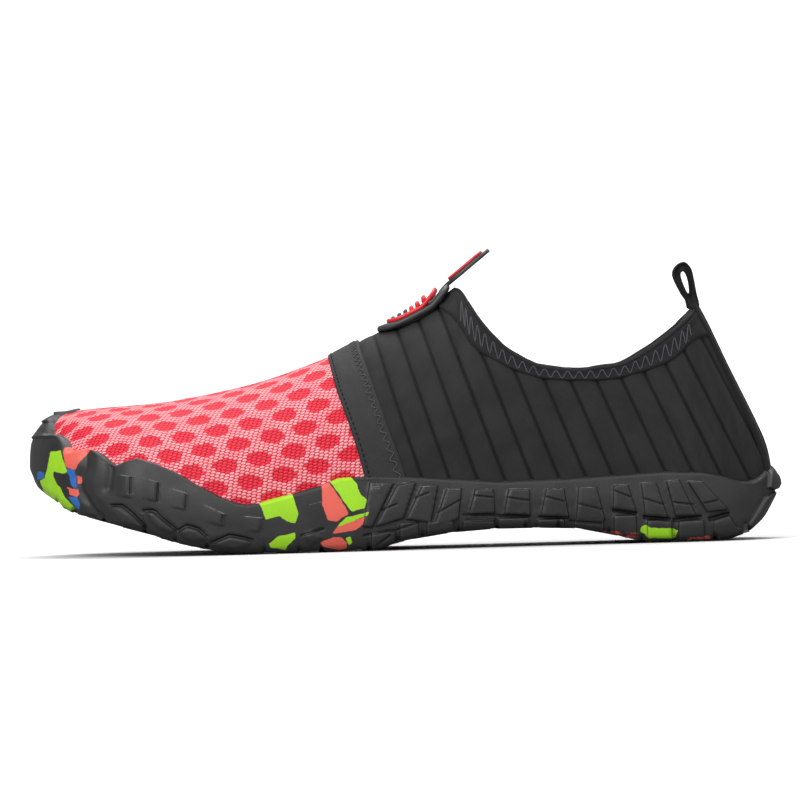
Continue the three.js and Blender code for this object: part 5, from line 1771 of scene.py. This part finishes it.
def stitchTree(name, kind):
    # lays stitches along a path: single ones spaced out, or one unbroken thread
    tree = bpy.data.node_groups.new(name, "GeometryNodeTree")
    face = tree.interface
    face.new_socket(name="Geometry", in_out="INPUT", socket_type="NodeSocketGeometry")
    made = {}
    for label, kindOf in (
        ("Spacing", "NodeSocketFloat"), ("Stitch Length", "NodeSocketFloat"), ("Thread", "NodeSocketFloat"),
        ("Material", "NodeSocketMaterial"),
    ):
        made[label] = face.new_socket(name=label, in_out="INPUT", socket_type=kindOf).identifier
    face.new_socket(name="Geometry", in_out="OUTPUT", socket_type="NodeSocketGeometry")
    nodes, links = tree.nodes, tree.links
    given, out = nodes.new("NodeGroupInput").outputs, nodes.new("NodeGroupOutput").inputs
    path = nodes.new("GeometryNodeMeshToCurve")
    links.new(given["Geometry"], path.inputs["Mesh"])
    if kind == "single":
        even = nodes.new("GeometryNodeResampleCurve")
        even.mode = "LENGTH"
        links.new(path.outputs[0], even.inputs["Curve"])
        links.new(given["Spacing"], even.inputs["Length"])
        ball = nodes.new("GeometryNodeMeshUVSphere")
        ball.inputs["Segments"].default_value = 8
        ball.inputs["Rings"].default_value = 5
        ball.inputs["Radius"].default_value = 0.5
        size = nodes.new("ShaderNodeCombineXYZ")
        links.new(given["Thread"], size.inputs[0])
        links.new(given["Thread"], size.inputs[1])
        links.new(given["Stitch Length"], size.inputs[2])
        tangent = nodes.new("GeometryNodeInputTangent")
        turn = nodes.new("FunctionNodeAlignRotationToVector")
        turn.axis = "Z"
        links.new(tangent.outputs[0], turn.inputs["Vector"])
        place = nodes.new("GeometryNodeInstanceOnPoints")
        links.new(even.outputs[0], place.inputs["Points"])
        links.new(ball.outputs["Mesh"], place.inputs["Instance"])
        links.new(turn.outputs[0], place.inputs["Rotation"])
        links.new(size.outputs[0], place.inputs["Scale"])
        last = place.outputs[0]
    else:
        circle = nodes.new("GeometryNodeCurvePrimitiveCircle")
        circle.inputs["Resolution"].default_value = 6
        half = nodes.new("ShaderNodeMath")
        half.operation = "MULTIPLY"
        half.inputs[1].default_value = 0.5
        links.new(given["Thread"], half.inputs[0])
        links.new(half.outputs[0], circle.inputs["Radius"])
        tube = nodes.new("GeometryNodeCurveToMesh")
        links.new(path.outputs[0], tube.inputs["Curve"])
        links.new(circle.outputs["Curve"], tube.inputs["Profile Curve"])
        tube.inputs["Fill Caps"].default_value = True
        last = tube.outputs[0]
    real = nodes.new("GeometryNodeRealizeInstances")
    links.new(last, real.inputs[0])
    coat = nodes.new("GeometryNodeSetMaterial")
    links.new(real.outputs[0], coat.inputs["Geometry"])
    links.new(given["Material"], coat.inputs["Material"])
    links.new(coat.outputs[0], out["Geometry"])
    return tree, made


stitchTrees = {"single": stitchTree("stitchRow", "single"), "thread": stitchTree("threadLine", "thread")}


def makeStitches(name, paths, kind, material, spacing=2.0, length=1.6, thread=0.35):
    points, edges = [], []
    for path in paths:
        edges += [(len(points) + i, len(points) + i + 1) for i in range(len(path) - 1)]
        points += [tuple(np.asarray(p) / 1000) for p in path]
    data = bpy.data.meshes.new(name + "_path")
    data.from_pydata(points, edges, [])
    holder = placed(name + "_path", data)
    tree, sockets = stitchTrees[kind]
    modifier = holder.modifiers.new("stitches", "NODES")
    modifier.node_group = tree
    modifier[sockets["Spacing"]] = spacing / 1000
    modifier[sockets["Stitch Length"]] = length / 1000
    modifier[sockets["Thread"]] = thread / 1000
    modifier[sockets["Material"]] = material
    seen = holder.evaluated_get(bpy.context.evaluated_depsgraph_get())
    made = bpy.data.meshes.new_from_object(seen)
    bpy.data.objects.remove(holder)
    made.name = name
    made.polygons.foreach_set("use_smooth", np.ones(len(made.polygons), bool))
    return finishPiece(placed(name, made))


stitchMake = {"zigzagPitch": 1.9, "collarPitch": 4.2, "bandThread": 0.42, "collarThread": 0.45}


def zigzag(place, pitch, steps=4):
    # corner points of a zigzag: place(way, across) gives the point, across is -1 or 1
    way = np.arange(0.0, 1.0 + 1e-9, pitch)
    corners = [(w, 1 if i % 2 else -1) for i, w in enumerate(way)]
    path = []
    for (w0, a0), (w1, a1) in zip(corners, corners[1:]):
        for k in range(steps):
            f = k / steps
            path.append(place(mix(w0, w1, f), mix(a0, a1, 0.5 - 0.5 * math.cos(math.pi * f))))
    return path


def makeBandStitches():
    def place(angle, t, lift):
        point = bandPlace(np.array([[angle]]), np.array([[t]]))
        return raised(point, np.array([[lift]]))[0, 0]

    low, high = 0.12, math.pi - 0.12
    front = [place(a, 0.115, 0.15 + bandMake["height"]) for a in np.linspace(low, high, 220)]
    makeStitches("strap_stitches_front", [front], "single", stitchThread, 2.1, 1.4, 0.5)
    total = 190.0
    path = zigzag(
        lambda w, a: place(mix(low, high, w), 0.81 + 0.07 * a, 0.15 + bandMake["height"] + 0.05),
        stitchMake["zigzagPitch"] / total,
    )
    makeStitches(
        "strap_stitches_back", [path], "thread", paleThread, thread=stitchMake["bandThread"]
    )


def makeCollarStitches():
    paths = []
    for side in (-1, 1):
        xs = stationsBetween(float(xAt(0.418)), float(xAt(0.113)), 600, lambda x: 0.6 * collarSpread(x))
        top = np.minimum(collarAngle(xs), 1.5)
        low = angleAt(xs, bindingShare(shareAt(xs)) * shoe["instepHeight"])
        line = formPoint(xs, mix(low, top, 0.5), side)
        way = np.concatenate([[0], np.cumsum(np.linalg.norm(np.diff(line, axis=0), axis=1))])

        def place(w, a):
            s = w * way[-1]
            x = np.interp(s, way, xs)
            angle = mix(np.interp(x, xs, low), np.interp(x, xs, top), 0.4 + 0.25 * a)
            return raised(
                formPoint(np.array([x]), np.array([angle]), side), np.array([bindingMake["height"]])
            )[0]

        paths.append(zigzag(place, stitchMake["collarPitch"] / 2 / way[-1]))
    makeStitches(
        "collar_stitches", paths, "thread", paleThread, thread=stitchMake["collarThread"]
    )


makeUpper()
makeSole()
makeTread()
makeBand()
makeBinding()
makeTape()
makeLoop()
makeBadge()
makeTab()
makeInsole()
print("pieces ready")
makeBandStitches()
makeCollarStitches()
print("stitches ready")

studio = {
    "roll": 1.54,
    "lookAt": (-0.6, 54.1),
    "frameWidth": 294.6,
    "lens": 300.0,
    "sensor": 36.0,
    "floor": (250, 250, 250),
    "floorBounce": (150, 150, 150),
    "key": 40.0,
    "top": 18.0,
    "fill": 6.0,
    "back": 24.0,
    "world": 0.3,
}


def makeStudio():
    profile = [(-4.0, 0.0), (0.9, 0.0)] + [
        (0.9 + math.sin(a), 1 - math.cos(a)) for a in np.linspace(0.05, math.pi / 2, 20)
    ] + [(1.9, 5.0)]
    points = [(x, y, z - 0.0003) for y, z in profile for x in (-6.0, 6.0)]
    faces = [(2 * i, 2 * i + 1, 2 * i + 3, 2 * i + 2) for i in range(len(profile) - 1)]
    data = bpy.data.meshes.new("paleFloor")
    data.from_pydata(points, [], faces)
    data.polygons.foreach_set("use_smooth", np.ones(len(faces), bool))
    material, tree, shader = newMaterial("palePaper", 0.6, specular=0.3)
    # the floor throws less light back than it shows, as dark studio walls would
    seenBy = tree.nodes.new("ShaderNodeLightPath").outputs["Is Camera Ray"]
    plug(
        tree, mixColour(tree, seenBy, paint(*studio["floorBounce"]), paint(*studio["floor"])),
        shader.inputs["Base Color"],
    )
    data.materials.append(material)
    placed("paleFloor", data)

    roll = math.radians(studio["roll"])
    right, up = Vector((math.cos(roll), 0, -math.sin(roll))), Vector((math.sin(roll), 0, math.cos(roll)))
    distance = studio["lens"] / studio["sensor"] * studio["frameWidth"] / 1000
    data = bpy.data.cameras.new("sideCamera")
    data.lens, data.sensor_width, data.sensor_fit = studio["lens"], studio["sensor"], "HORIZONTAL"
    data.clip_end = 50
    camera = placed("sideCamera", data)
    camera.location = (studio["lookAt"][0] / 1000, -distance, studio["lookAt"][1] / 1000)
    back = right.cross(up)
    camera.rotation_euler = Matrix((right, up, back)).transposed().to_euler()
    bpy.context.scene.camera = camera

    for name, place, target, size, power in (
        ("keyLight", (-0.9, -1.6, 1.5), (0, 0, 0.05), 1.3, studio["key"]),
        ("topLight", (0.25, 0.1, 1.9), (0, 0, 0.05), 1.6, studio["top"]),
        ("fillLight", (1.6, -1.2, 0.9), (0, 0, 0.05), 1.2, studio["fill"]),
        ("backLight", (0, 1.3, 1.6), (0, 1.5, 0), 1.4, studio["back"]),
    ):
        data = bpy.data.lights.new(name, "AREA")
        data.shape, data.size, data.energy = "SQUARE", size, power
        light = placed(name, data)
        light.location = place
        light.rotation_euler = (Vector(target) - Vector(place)).to_track_quat("-Z", "Y").to_euler()
    world = bpy.data.worlds.new("softRoom")
    bpy.context.scene.world = world
    world.use_nodes = True
    world.node_tree.nodes["Background"].inputs[0].default_value = (1, 1, 1, 1)
    world.node_tree.nodes["Background"].inputs[1].default_value = studio["world"]
    bpy.context.scene.view_settings.view_transform = "Standard"
    print("studio ready")


makeStudio()
